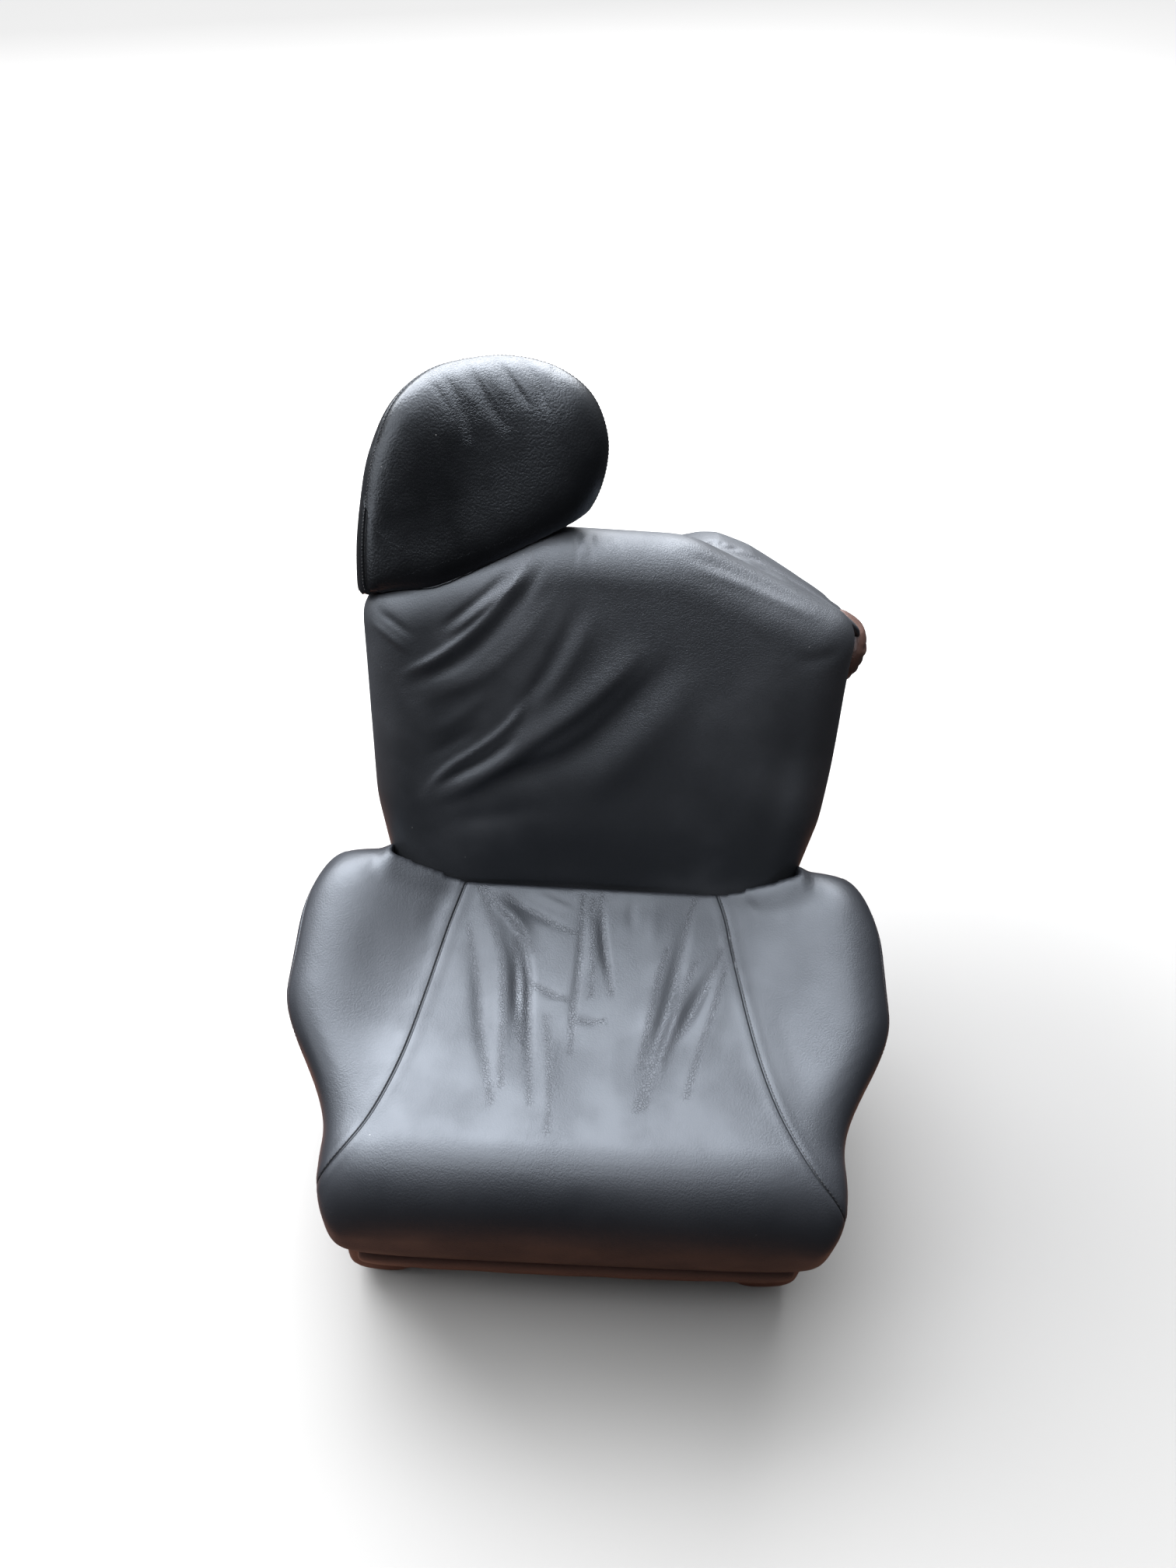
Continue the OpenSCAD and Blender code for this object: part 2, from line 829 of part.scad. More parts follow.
// Ear frame rod and leaf, inside the ear's foam
ear_mid_y = -ear_thick * 0.77;
ear_foot_z = ear_thick * 0.076;
ear_frame_y = -ear_thick * 0.63;
ear_frame_z = ear_foot_z + ear_thick * 0.85;
ear_leaf_turn = atan2(-ear_frame_y, ear_frame_z)
    - asin((knuckle_r + ear_rod_r) / norm([ear_frame_y, ear_frame_z]));
ear_leaf_h = norm([ear_frame_y, ear_frame_z]) + ear_rod_r;
// Corners of the rod, well inside the ear's outline
ear_frame_top_share = 0.84;
ear_frame_in_share = 0.76;
ear_frame_out_share = 0.13;
ear_frame_shoulder_share = 0.36;
module ear_leaf(side) {
    color("silver")
        on_ear(side)
            translate([hinge_start, 0, 0])
                rotate([ear_leaf_turn, 0, 0])
                    mirror([0, 0, 1])
                        hinge_half(
                            ear_hinge_len, false, ear_leaf_h, -knuckle_r, pin_r + run_gap
                        );
}
module ear_frame(side) {
    low_z = ear_frame_z;
    high_z = ear_h * ear_frame_top_share;
    in_x = ear_len * ear_frame_in_share;
    color("slategray")
        on_ear(side)
            translate([0, ear_frame_y, 0])
                rotate([90, 0, 0])
                    bent_loop(
                        [
                            [ear_len * ear_frame_out_share, low_z],
                            [in_x, low_z],
                            [in_x, high_z],
                            [ear_len * ear_frame_shoulder_share, high_z]
                        ],
                        ear_rod_r * 3, ear_rod_r
                    );
}

// Ear outline as shares of its length and height, from the outer foot round the top
ear_outline_shares = [
    [0, 0.03], [0.052, 0.27], [0.128, 0.505], [0.22, 0.73], [0.35, 0.925], [0.5, 1.01],
    [0.65, 0.998], [0.79, 0.938], [0.918, 0.815], [0.998, 0.64], [1.008, 0.43], [0.965, 0.256],
    [0.885, 0.11], [0.775, 0.02], [0.62, 0], [0.4, 0], [0.16, 0], [0.04, -0.01]
];
ear_curve_steps = 2;
function curve_at(p0, p1, p2, p3, t) =
    0.5 * (
        2 * p1 + (p2 - p0) * t + (2 * p0 - 5 * p1 + 4 * p2 - p3) * t * t
        + (3 * p1 - p0 - 3 * p2 + p3) * t * t * t
    );
function smooth_loop(points, steps) =
    let (n = len(points))
    [for (i = [0:n - 1], k = [0:steps - 1])
        curve_at(
            points[(i + n - 1) % n], points[i], points[(i + 1) % n], points[(i + 2) % n], k / steps
        )];
ear_outline = [
    for (p = smooth_loop(ear_outline_shares, ear_curve_steps))
        [p[0] * ear_len - ear_over, p[1] * ear_h + ear_foot_z]
];
ear_mid = [ear_len * 0.52 - ear_over, ear_h * 0.48 + ear_foot_z];
ear_puff_power = 5;
ear_shares = [1, 0.975, 0.92, 0.82, 0.64, 0.38];
function ear_ring(share, face) =
    let (puff = pow(1 - pow(share, ear_puff_power), 0.5))
    [for (p = ear_outline)
        let (q = ear_mid + (p - ear_mid) * share)
        [q[0], ear_mid_y + face * ear_thick / 2 * puff, q[1]]];
ear_rings = concat(
    [for (i = [len(ear_shares) - 1:-1:1]) ear_ring(ear_shares[i], 1)],
    [for (share = ear_shares) ear_ring(share, -1)]
);
// The raised ear straddles the rounded edge of the backrest
saddle_gap = 1.5;
module ear_cushion(side) {
    color([0.06, 0.06, 0.07])
        on_ear(side)
            difference() {
                skin(
                    ear_rings,
                    [ear_mid[0], ear_mid_y + ear_thick / 2, ear_mid[1]],
                    [ear_mid[0], ear_mid_y - ear_thick / 2, ear_mid[1]]
                );
                rotate([ear_up_tilt, 0, 0])
                    translate([0, -hinge_back, hinge_drop - back_edge_r])
                        along_x(-ear_len, ear_len * 2)
                            circle(r = back_edge_r + saddle_gap, $fn = 32);
            }
}

// Cross shaft and knobs
knob_gap = 3;
knob_in_x = seat_half_w + knob_gap;
screw_r = 3;
screw_head_r = 6;
screw_head_h = 3;
knob_wall = 6;
module cross_shaft() {
    half = knob_in_x + knob_t - knob_wall;
    color("silver")
        translate([0, axis_y, axis_z])
            difference() {
                along_x(-half, half)
                    circle(r = shaft_r);
                for (side = [-1, 1]) {
                    translate([side * (half - knob_t / 2), 0, 0])
                        rotate([0, 90, 0])
                            cylinder(h = knob_t + over, r = screw_r, center = true);
                }
            }
}
scallops = 12;
scallop_r = knob_r * 0.26;
module knob_grip() {
    difference() {
        circle(r = knob_r);
        for (i = [0:scallops - 1]) {
            rotate(i * 360 / scallops)
                translate([knob_r * 1.17, 0])
                    circle(r = scallop_r);
        }
    }
}
knob_edge = 5;
module knob_body() {
    rotate_extrude()
        polygon([
            [0, 0],
            [knob_r - knob_edge, 0],
            [knob_r, knob_edge],
            [knob_r, knob_t - knob_edge],
            [knob_r - knob_edge, knob_t],
            [knob_r * 0.62, knob_t],
            [knob_r * 0.5, knob_t - knob_wall / 2],
            [0, knob_t - knob_wall / 2]
        ]);
}
module knob(side) {
    color("black")
        mirrored(-side)
            translate([knob_in_x, axis_y, axis_z])
                rotate([0, 90, 0])
                    difference() {
                        intersection() {
                            knob_body();
                            translate([0, 0, -over])
                                linear_extrude(knob_t + 2 * over)
                                    knob_grip();
                        }
                        translate([0, 0, -over])
                            cylinder(h = knob_t - knob_wall + over, r = shaft_r);
                        translate([0, 0, -over])
                            cylinder(h = knob_t + 2 * over, r = screw_r);
                    }
}
module knob_screws() {
    head_x = knob_in_x + knob_t - knob_wall / 2;
    color("gainsboro")
        for (side = [-1, 1]) {
            mirrored(-side)
                translate([0, axis_y, axis_z])
                    difference() {
                        union() {
                            along_x(head_x - knob_t / 2, head_x)
                                circle(r = screw_r);
                            along_x(head_x, head_x + screw_head_h)
                                circle(r = screw_head_r);
                        }
                        along_x(head_x + screw_head_h / 3, head_x + screw_head_h + over)
                            circle(r = screw_r, $fn = 6);
                    }
        }
}

// Footrest: frame, webbing, cushion with four feet, and glides
glide_t = 4;
glide_r = 24;
rest_front_y = -fold_y + rest_setback;
rest_rear_y = rest_front_y + rest_len;
rest_mid_z = rest_top_z * 0.5;
rest_frame_z = rest_top_z * 0.62;
rest_frame_half_w = rest_half_w - tube_r * 5;
rest_frame_front_y = rest_front_y + tube_r * 3.2;
rest_frame_rear_y = rest_rear_y - tube_r * 5;
foot_x = rest_half_w - rest_len * 0.085;
foot_front_y = rest_front_y + rest_len * 0.085;
foot_rear_y = rest_rear_y - rest_len * 0.1;
foot_reach = rest_len * 0.115;
module footrest_frame() {
    color("slategray")
        translate([0, 0, rest_frame_z])
            bent_loop(
                [
                    [-rest_frame_half_w, rest_frame_front_y],
                    [rest_frame_half_w, rest_frame_front_y],
                    [rest_frame_half_w, rest_frame_rear_y],
                    [-rest_frame_half_w, rest_frame_rear_y]
                ],
                frame_bend, tube_r
            );
}
module footrest_webbing() {
    color("black")
        strap_field(
            rest_frame_half_w, rest_frame_front_y, rest_frame_rear_y, rest_frame_z + tube_r
        );
}
foot_square = 16;
foot_sink = 0.8;
function bump(d) = exp(-pow(d, 4));
function foot_share(x, y) =
    bump((abs(x) - foot_x) / foot_reach)
    * max(bump((y - foot_front_y) / foot_reach), bump((y - foot_rear_y) / foot_reach));
function rest_under(x, y) = glide_t - foot_sink + rest_arch * (1 - foot_share(x, y));
function rest_point(u, top, y, wide, tall) =
    let (
        x = u * rest_half_w * wide,
        z = top
            ? rest_mid_z + (rest_top_z - rest_mid_z) * corner(u, side_square) * tall
            : rest_mid_z - (rest_mid_z - rest_under(x, y)) * corner(u, foot_square) * tall,
        toe = toe_out * bump((abs(x) - foot_x) / foot_reach) * ease(1 - z / rest_mid_z)
    )
    [x, y - toe * ease((foot_front_y - y) / (foot_front_y - rest_front_y) + 0.5), z];
function rest_ring(y, wide, up_share, low_share) = concat(
    [for (u = across_shares) rest_point(u, true, y, wide, up_share)],
    [for (i = [half_steps - 1:-1:1]) rest_point(across_shares[i], false, y, wide, low_share)]
);
rest_edge_shares = [0.97, 0.8, 0.5, 0.2];
rest_edge = rest_len * 0.07;
rest_y_shares = [0.075, 0.13, 0.19, 0.3, 0.5, 0.7, 0.79, 0.86, 0.925];
rest_rings = concat(
    [for (e = rest_edge_shares)
        rest_ring(
            rest_front_y + rest_edge * (1 - e), mix(1, 0.97, pow(e, 4)), corner(e, 3), corner(e, 8)
        )],
    [for (share = rest_y_shares) rest_ring(rest_front_y + rest_len * share, 1, 1, 1)],
    [for (i = [3:-1:0])
        let (e = rest_edge_shares[i])
        rest_ring(
            rest_rear_y - rest_edge * (1 - e), mix(1, 0.95, pow(e, 4)), corner(e, 3), corner(e, 5)
        )]
);
module footrest_cushion() {
    last = len(rest_rings) - 1;
    color([0.06, 0.06, 0.07])
        skin(
            rest_rings,
            [0, rest_rings[0][0][1], rest_mid_z],
            [0, rest_rings[last][0][1], rest_mid_z]
        );
}
module footrest_glides() {
    color("black")
        for (x = [-foot_x, foot_x], y = [foot_front_y, foot_rear_y]) {
            translate([x, y, 0])
                cylinder(h = glide_t, r = glide_r);
        }
}

seat_frame();
side_plate(-1);  // left_side_plate
side_plate(1);  // right_side_plate
recliner_housing(-1);  // left_recliner_housing
recliner_housing(1);  // right_recliner_housing
side_plate_bolts();
seat_webbing();
seat_cushion();
seat_bottom_cover();
fold_leaf(-1);  // left_fold_leaf
fold_leaf(1);  // right_fold_leaf
fold_pin(-1);  // left_fold_pin
fold_pin(1);  // right_fold_pin
back_frame();
back_arm(-1);  // left_back_arm
back_arm(1);  // right_back_arm
recliner_hub(-1);  // left_recliner_hub
recliner_hub(1);  // right_recliner_hub
back_webbing();
back_cushion();
ear_bracket(-1);  // left_ear_bracket
ear_bracket(1);  // right_ear_bracket
click_spring(-1);  // left_click_spring
click_spring(1);  // right_click_spring
ear_frame(-1);  // left_ear_frame
ear_leaf(-1);  // left_ear_leaf
ear_pin(-1);  // left_ear_pin
click_wheel(-1);  // left_click_wheel
ear_cushion(-1);  // left_ear_cushion
ear_frame(1);  // right_ear_frame
ear_leaf(1);  // right_ear_leaf
ear_pin(1);  // right_ear_pin
click_wheel(1);  // right_click_wheel
ear_cushion(1);  // right_ear_cushion
cross_shaft();
knob(-1);  // left_knob
knob(1);  // right_knob
knob_screws();
footrest_frame();
rest_leaf(-1);  // left_rest_leaf
rest_leaf(1);  // right_rest_leaf
footrest_webbing();
footrest_cushion();
footrest_glides();
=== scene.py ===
# %% [markdown]
# # An armless recliner in black leather
# The chair is a broad seat with two side bolsters, a gabled backrest that turns on a cross shaft,
# a headrest split into two ears, and a padded base that folds out as a footrest. The steel inside
# comes ready from the CAD frame. What is made here is the upholstery: every cushion starts as the
# same form that the CAD solid has, is given an even skin, and is then worked with the folds,
# seams and gathers that stretched leather shows. The sitter looks along -Y, and left and right are
# those of a viewer who faces the chair.

# %% Load the imported frame
import bpy
import bmesh
import math
import numpy as np
from mathutils import Vector, Matrix
from mathutils.bvhtree import BVHTree


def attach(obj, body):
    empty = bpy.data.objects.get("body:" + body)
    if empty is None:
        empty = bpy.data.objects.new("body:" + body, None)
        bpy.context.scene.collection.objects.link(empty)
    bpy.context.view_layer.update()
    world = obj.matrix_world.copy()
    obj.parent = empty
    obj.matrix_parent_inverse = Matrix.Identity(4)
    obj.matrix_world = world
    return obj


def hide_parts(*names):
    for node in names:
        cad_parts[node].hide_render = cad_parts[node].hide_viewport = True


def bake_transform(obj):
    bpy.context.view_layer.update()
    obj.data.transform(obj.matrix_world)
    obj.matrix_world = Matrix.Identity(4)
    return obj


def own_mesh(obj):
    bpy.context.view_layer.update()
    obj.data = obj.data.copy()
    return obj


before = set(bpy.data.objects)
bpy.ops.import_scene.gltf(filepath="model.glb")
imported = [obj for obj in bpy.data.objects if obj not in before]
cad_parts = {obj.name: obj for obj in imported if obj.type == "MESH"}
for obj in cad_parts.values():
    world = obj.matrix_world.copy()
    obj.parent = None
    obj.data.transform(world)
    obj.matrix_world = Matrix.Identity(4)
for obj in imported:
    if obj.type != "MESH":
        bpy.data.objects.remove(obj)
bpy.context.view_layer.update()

# %% [markdown]
# ## Measures and small helpers
# The cushions repeat the driving sizes of the CAD source in metres, so that each soft form lies in
# the space that its solid holds. The last two lines give the size of the small squares that each
# skin is made of. Vertices are moved in bulk with arrays, because a cushion has tens of thousands of
# them and the same few curves shape them all.

# %% Driving sizes, in metres
AXIS_Y, AXIS_Z = 0.0655, 0.230
LEAN = math.radians(21.4)
SEAT_HALF, SEAT_LOW, SEAT_DISH, SEAT_MID = 0.348, 0.152, 0.352, 0.252
SEAT_RUN, NOSE, REAR_RISE, FRONT_RISE = 0.405, 0.102, 0.020, 0.014
BOLSTER_H, BOLSTER_OUT = 0.074, 0.084
SEAT_FLAT_Y = AXIS_Y - SEAT_RUN
ARM_START_Y, ARM_END_Y = AXIS_Y - SEAT_RUN * 0.2, AXIS_Y + 0.042
BACK_R, FOOT_HALF, WAIST_HALF, HIP_HALF, SHOULDER_HALF = 0.060, 0.299, 0.3022, 0.330, 0.344
WAIST_S, HIP_S, SHOULDER_S, APEX_S = 0.096, 0.235, 0.545, 0.647
APEX_HALF = SHOULDER_HALF * 0.27
SLOPE = math.atan2(APEX_S - SHOULDER_S, SHOULDER_HALF - APEX_HALF)
SLOPE_LEN = math.hypot(APEX_S - SHOULDER_S, SHOULDER_HALF - APEX_HALF)
HINGE_DROP, HINGE_BACK = 0.036, 0.069
EAR_LEN, EAR_H, EAR_T, EAR_OVER = SHOULDER_HALF * 1.12, 0.250, 0.092, 0.008
EAR_MID_Y, EAR_FOOT_Z = -EAR_T * 0.77, EAR_T * 0.076
EAR_TILT = {"left": math.radians(8), "right": math.radians(184)}
REST_HALF, REST_LEN, FOLD_Y, REST_FRONT_Y = 0.330, 0.512, 0.4245, -0.4025
REST_TOP_Z, REST_ARCH = 0.1501, 0.036
SEAT_SQUARE, BACK_SQUARE, EAR_SQUARE, REST_SQUARE = 0.0048, 0.0050, 0.0035, 0.0045
COVER_SQUARE, LOBE_SQUARE = 0.0032, 0.003
print("slope of the top edge", round(math.degrees(SLOPE), 2), "degrees over", round(SLOPE_LEN, 3), "m")

# %% Curves that shape the forms
def ease(t):
    t = np.clip(t, 0, 1)
    return t * t * (3 - 2 * t)


def mix(a, b, t):
    return a + (b - a) * t


def rounded(u, power):
    return np.maximum(0, 1 - np.abs(u) ** power) ** (1 / power)


def square_turn(turn, power):
    """A turn round a circle sent to a rounded square: across and up, each from -1 to 1."""
    c, s = np.cos(turn), np.sin(turn)
    n = (np.abs(c) ** power + np.abs(s) ** power) ** (1 / power)
    return c / n, s / n


def bell(d, wide):
    return np.exp(-((d / wide) ** 2))


# %% Mesh helpers
def read_vectors(obj, layer, key):
    flat = np.empty(len(obj.data.vertices) * 3)
    getattr(obj.data, layer).foreach_get(key, flat)
    return flat.reshape(-1, 3)


def points_of(obj):
    return read_vectors(obj, "vertices", "co")


def normals_of(obj):
    return read_vectors(obj, "vertex_normals", "vector")


def move_to(obj, co):
    obj.data.vertices.foreach_set("co", np.ascontiguousarray(co, float).ravel())
    obj.data.update()


def store(obj, name, values):
    """A number on every vertex, or one for all of them, which a material can read."""
    attribute = obj.data.attributes.get(name) or obj.data.attributes.new(name, "FLOAT", "POINT")
    attribute.data.foreach_set("value", np.full(len(obj.data.vertices), values, np.float32))


def smooth_faces(obj):
    for p in obj.data.polygons:
        p.use_smooth = True


def new_piece(name, bm):
    mesh = bpy.data.meshes.new(name)
    bm.to_mesh(mesh)
    bm.free()
    obj = bpy.data.objects.new(name, mesh)
    bpy.context.collection.objects.link(obj)
    return obj


def settle(obj):
    """Applies what the modifiers make, and clears them."""
    seen_now = obj.evaluated_get(bpy.context.evaluated_depsgraph_get())
    made = bpy.data.meshes.new_from_object(seen_now)
    obj.modifiers.clear()
    obj.data = made


def face_out(obj):
    bm = bmesh.new()
    bm.from_mesh(obj.data)
    bmesh.ops.remove_doubles(bm, verts=bm.verts, dist=1e-6)
    bmesh.ops.recalc_face_normals(bm, faces=bm.faces)
    bm.to_mesh(obj.data)
    bm.free()


def stretched_ball(name, around, along, form):
    """A ball stretched to a form, which takes each vertex's angles from the first pole and round."""
    bm = bmesh.new()
    bmesh.ops.create_uvsphere(bm, u_segments=around, v_segments=along, radius=1.0)
    obj = new_piece(name, bm)
    co = points_of(obj)
    move_to(obj, form(np.arccos(np.clip(co[:, 2], -1, 1)), np.arctan2(co[:, 1], co[:, 0])))
    face_out(obj)
    return obj


def even_skin(obj, voxel, rounds):
    """An even skin of small squares over the form, with its sharp edges eased."""
    remesh = obj.modifiers.new("Even", "REMESH")
    remesh.mode = "VOXEL"
    remesh.voxel_size = voxel
    remesh.use_smooth_shade = True
    smooth = obj.modifiers.new("Ease", "SMOOTH")
    smooth.factor = 0.5
    smooth.iterations = rounds
    settle(obj)
    smooth_faces(obj)


def carve(obj, cutters):
    for cutter in cutters:
        cut = obj.modifiers.new("Carve", "BOOLEAN")
        cut.operation = "DIFFERENCE"
        cut.solver = "EXACT"
        cut.object = cutter
    settle(obj)
    for cutter in cutters:
        bpy.data.objects.remove(cutter)


def drum(name, radius, x0, x1, y, z, sides=64):
    """A cylinder along X."""
    bm = bmesh.new()
    bmesh.ops.create_cone(bm, cap_ends=True, segments=sides, radius1=radius, radius2=radius,
                          depth=x1 - x0)
    bmesh.ops.rotate(bm, verts=bm.verts, matrix=Matrix.Rotation(math.pi / 2, 3, "Y"))
    bmesh.ops.translate(bm, verts=bm.verts, vec=((x0 + x1) / 2, y, z))
    return new_piece(name, bm)


def dress(obj, hide, body=None, stands_for=None):
    """Covers a piece in its leather, and tells the frame where it belongs."""
    obj.data.materials.clear()
    obj.data.materials.append(hide)
    if body:
        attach(obj, body)
    if stands_for:
        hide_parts(stands_for)
    print(obj.name, len(obj.data.vertices), "vertices")

# %% Frames of the backrest and of an ear
def turned(co, angle, first=1, second=2):
    """The points turned in the plane of two axes."""
    c, s = math.cos(angle), math.sin(angle)
    out = np.array(co, float)
    out[:, first] = co[:, first] * c - co[:, second] * s
    out[:, second] = co[:, first] * s + co[:, second] * c
    return out


def to_back(co):
    """Into the backrest's own frame: across, towards the rear, and up the backrest."""
    return turned(co - [0, AXIS_Y, AXIS_Z], LEAN)


def from_back(co):
    return turned(co, -LEAN) + [0, AXIS_Y, AXIS_Z]


def mirrored(co, side):
    return co * [-1 if side == "right" else 1, 1, 1]


def to_hinge(co, side):
    """Into a hinge's frame: up the slope from the shoulder, towards the rear, and away from it."""
    local = mirrored(to_back(co), side) - [-SHOULDER_HALF, HINGE_BACK, SHOULDER_S]
    return turned(local, -SLOPE, 0, 2) + [0, 0, HINGE_DROP]


def from_hinge(co, side):
    local = turned(co - [0, 0, HINGE_DROP], SLOPE, 0, 2) + [-SHOULDER_HALF, HINGE_BACK, SHOULDER_S]
    return from_back(mirrored(local, side))


def to_ear(co, side):
    """Into an ear's own frame, in which it stands up."""
    return turned(to_hinge(co, side), EAR_TILT[side])


def from_ear(co, side):
    return from_hinge(turned(co, -EAR_TILT[side]), side)

# %% [markdown]
# ## Folds and seams
# Leather that is stretched over foam falls into long folds with a soft side and a sharper one. Each
# fold is a line on its panel, given by a few points, that raises or sinks the skin beside it and
# fades out at both ends. A cloth simulation would put folds where it likes, so they are drawn
# where this chair has them. A seam is stored on the skin as a signed distance, so that the
# material can draw a line far finer than the mesh.

# %% Fold and seam helpers
FAR = 0.2  # stored as the distance from a seam, in metres, where a skin has none near
FOLD_REACH = 2.2  # half widths from its line to where a fold hardly moves the skin
SEAM_BANDS = (0.006, 0.0035)  # distances from a seam within which the mesh is made finer
DIP_HALF = 0.0013  # half width of the dip along a seam


def cut_corners(line):
    """The points at a quarter and three quarters of each stretch of a line."""
    a, b = line[:-1] * 0.75 + line[1:] * 0.25, line[:-1] * 0.25 + line[1:] * 0.75
    return np.stack([a, b], 1).reshape(-1, line.shape[1])


def flowing(points, rounds=3):
    """The line with its corners cut round."""
    line = np.array(points, float)
    for _ in range(rounds):
        line = np.concatenate([line[:1], cut_corners(line), line[-1:]])
    return line


def run_of(line):
    """The way along a line to each of its points."""
    return np.concatenate([[0], np.cumsum(np.linalg.norm(np.diff(line, axis=0), axis=1))])


def along_line(line, run, at):
    """The points of a line whose ways along it are given."""
    return np.stack([np.interp(at, run, line[:, k]) for k in (0, 1)], 1)


def beside(co, points, rounds=3):
    """Distance of each point from a line, which side of it, and the share of the line passed."""
    line = flowing(points, rounds)
    run = run_of(line)
    best = np.full(len(co), 9.0)
    side = np.zeros(len(co))
    passed = np.zeros(len(co))
    for a, b, done, step in zip(line[:-1], line[1:], run, np.linalg.norm(np.diff(line, axis=0), axis=1)):
        d = (b - a) / step
        t = np.clip((co - a) @ d, 0, step)
        gap = np.linalg.norm(co - a - t[:, None] * d, axis=1)
        near = gap < best
        best[near] = gap[near]
        passed[near] = (done + t[near]) / run[-1]
        away = (co[:, 0] - a[0]) * d[1] - (co[:, 1] - a[1]) * d[0]
        side[near] = np.sign(away[near])
    return best, side, passed


def in_metres(rows):
    """Folds with their points, half width and height given in millimetres."""
    return [(np.array(line) / 1000, wide / 1000, high / 1000, lean, fade)
            for line, wide, high, lean, fade in rows]


def fold(co, points, wide, high, lean, fade):
    """Rise of the skin beside a fold: high at its line, steeper on one side if it leans."""
    gap, side, passed = beside(co, points, 2)
    ends = ease(passed / fade) * ease((1 - passed) / fade)
    return high * ends * bell(gap, wide * (1 + lean * side))


def near_folds(panel, folds, wide):
    """How near each point is to any of the folds, from 0 to the number that meet there."""
    return sum(bell(beside(panel, f[0], 2)[0], wide) for f in folds)


def refine(obj, chosen):
    """Cuts the faces at the chosen vertices into four."""
    bm = bmesh.new()
    bm.from_mesh(obj.data)
    bm.verts.ensure_lookup_table()
    faces = {f for i in np.flatnonzero(chosen) for f in bm.verts[int(i)].link_faces}
    edges = list({e for f in faces for e in f.edges})
    bmesh.ops.subdivide_edges(bm, edges=edges, cuts=1, use_grid_fill=True)
    for f in bm.faces:
        f.smooth = True
    bm.to_mesh(obj.data)
    bm.free()


def everywhere(obj):
    return np.ones(len(obj.data.vertices))


def press(obj, to_panel, folds, to_mask=everywhere, sharp=0.009):
    """Moves the skin along its normals by the sum of its folds, in a finer mesh at sharp ones."""
    panel = to_panel(obj)
    close = np.zeros(len(panel), bool)
    for f in folds:
        if f[1] < sharp:
            close |= beside(panel, f[0], 1)[0] < f[1] * FOLD_REACH
    refine(obj, close & (to_mask(obj) > 0))
    panel = to_panel(obj)
    rise = sum(fold(panel, *f) for f in folds) * to_mask(obj)
    move_to(obj, points_of(obj) + normals_of(obj) * rise[:, None])
    deepest, highest = (round(float(v) * 1000, 1) for v in (rise.min(), rise.max()))
    print(obj.name, "folds", len(folds), "from", deepest, "to", highest, "mm")


def sew(obj, seam_at, depth=0.0011, puff=0.0007, reach=0.012):
    """Pulls the skin in along a seam, in a mesh that is made finer there."""
    for band in SEAM_BANDS:
        refine(obj, np.abs(seam_at(obj)) < band)
    seam = seam_at(obj)
    rise = puff * bell(np.abs(seam) - reach * 0.7, reach * 0.5) - depth * bell(seam, DIP_HALF)
    move_to(obj, points_of(obj) + normals_of(obj) * rise[:, None])
    store(obj, "seam", seam)

# %% [markdown]
# ## Leather
# One hide covers the whole chair: nearly black, with a fine pebble, a soft sheen, slightly paler
# where it is rubbed, and a little dust. The grain, the broad clouds of colour and the fine cracks
# beside folds are in one node group, because the cushions, the covers and the sleeves all use it.
# The panels differ a little in colour and gloss, so four leathers are made from it. Part of their
# colour is painted light: the backrest's far paler rubbed colour paints a sheen on its face and a
# highlight along the roll, the ears are darkened below the black of the hide as painted shade, and
# the brown of the base, the lobe and the skirt is a painted reflection of a warm floor. The blue
# tint of all reflections stands in for bluish skylight, since the lamps are white. The seams read
# the stored distance, and the dark line and its dip are drawn from that.

# %% Node group for the hide
class Nodes:
    """Places nodes in a tree and joins them, so that a material reads like a list."""

    def __init__(self, tree):
        self.tree = tree

    def feed(self, node, inputs):
        """Links an input to the socket that is given for it, or sets it to the value."""
        for key, value in inputs.items():
            if isinstance(value, bpy.types.NodeSocket):
                self.tree.links.new(value, node.inputs[key])
            else:
                node.inputs[key].default_value = value

    def add(self, kind, inputs=None, **settings):
        node = self.tree.nodes.new(kind)
        for key, value in settings.items():
            setattr(node, key, value)
        self.feed(node, inputs or {})
        return node

    def place(self):
        return self.add("ShaderNodeTexCoord").outputs["Object"]

    def noise(self, place, scale, detail, out="Fac"):
        inputs = {"Vector": place, "Scale": scale, "Detail": detail}
        return self.add("ShaderNodeTexNoise", inputs).outputs[out]

    def cells(self, place, scale, feature="F1"):
        return self.add("ShaderNodeTexVoronoi", {"Vector": place, "Scale": scale}, feature=feature).outputs

    def stored(self, name):
        return self.add("ShaderNodeAttribute", attribute_name=name, attribute_type="GEOMETRY").outputs["Fac"]

    def math(self, operation, a, b=0.5, clamp=False):
        return self.add("ShaderNodeMath", {0: a, 1: b}, operation=operation, use_clamp=clamp).outputs[0]

    def ramp(self, value, low, high, to_low=0.0, to_high=1.0):
        inputs = {0: value, 1: low, 2: high, 3: to_low, 4: to_high}
        return self.add("ShaderNodeMapRange", inputs, interpolation_type="SMOOTHSTEP").outputs[0]

    def blend(self, share, a, b):
        return self.add("ShaderNodeMix", {0: share, 6: a, 7: b}, data_type="RGBA").outputs[2]

    def bump(self, height, depth, strength):
        inputs = {"Strength": strength, "Distance": depth, "Height": height}
        return self.add("ShaderNodeBump", inputs).outputs["Normal"]


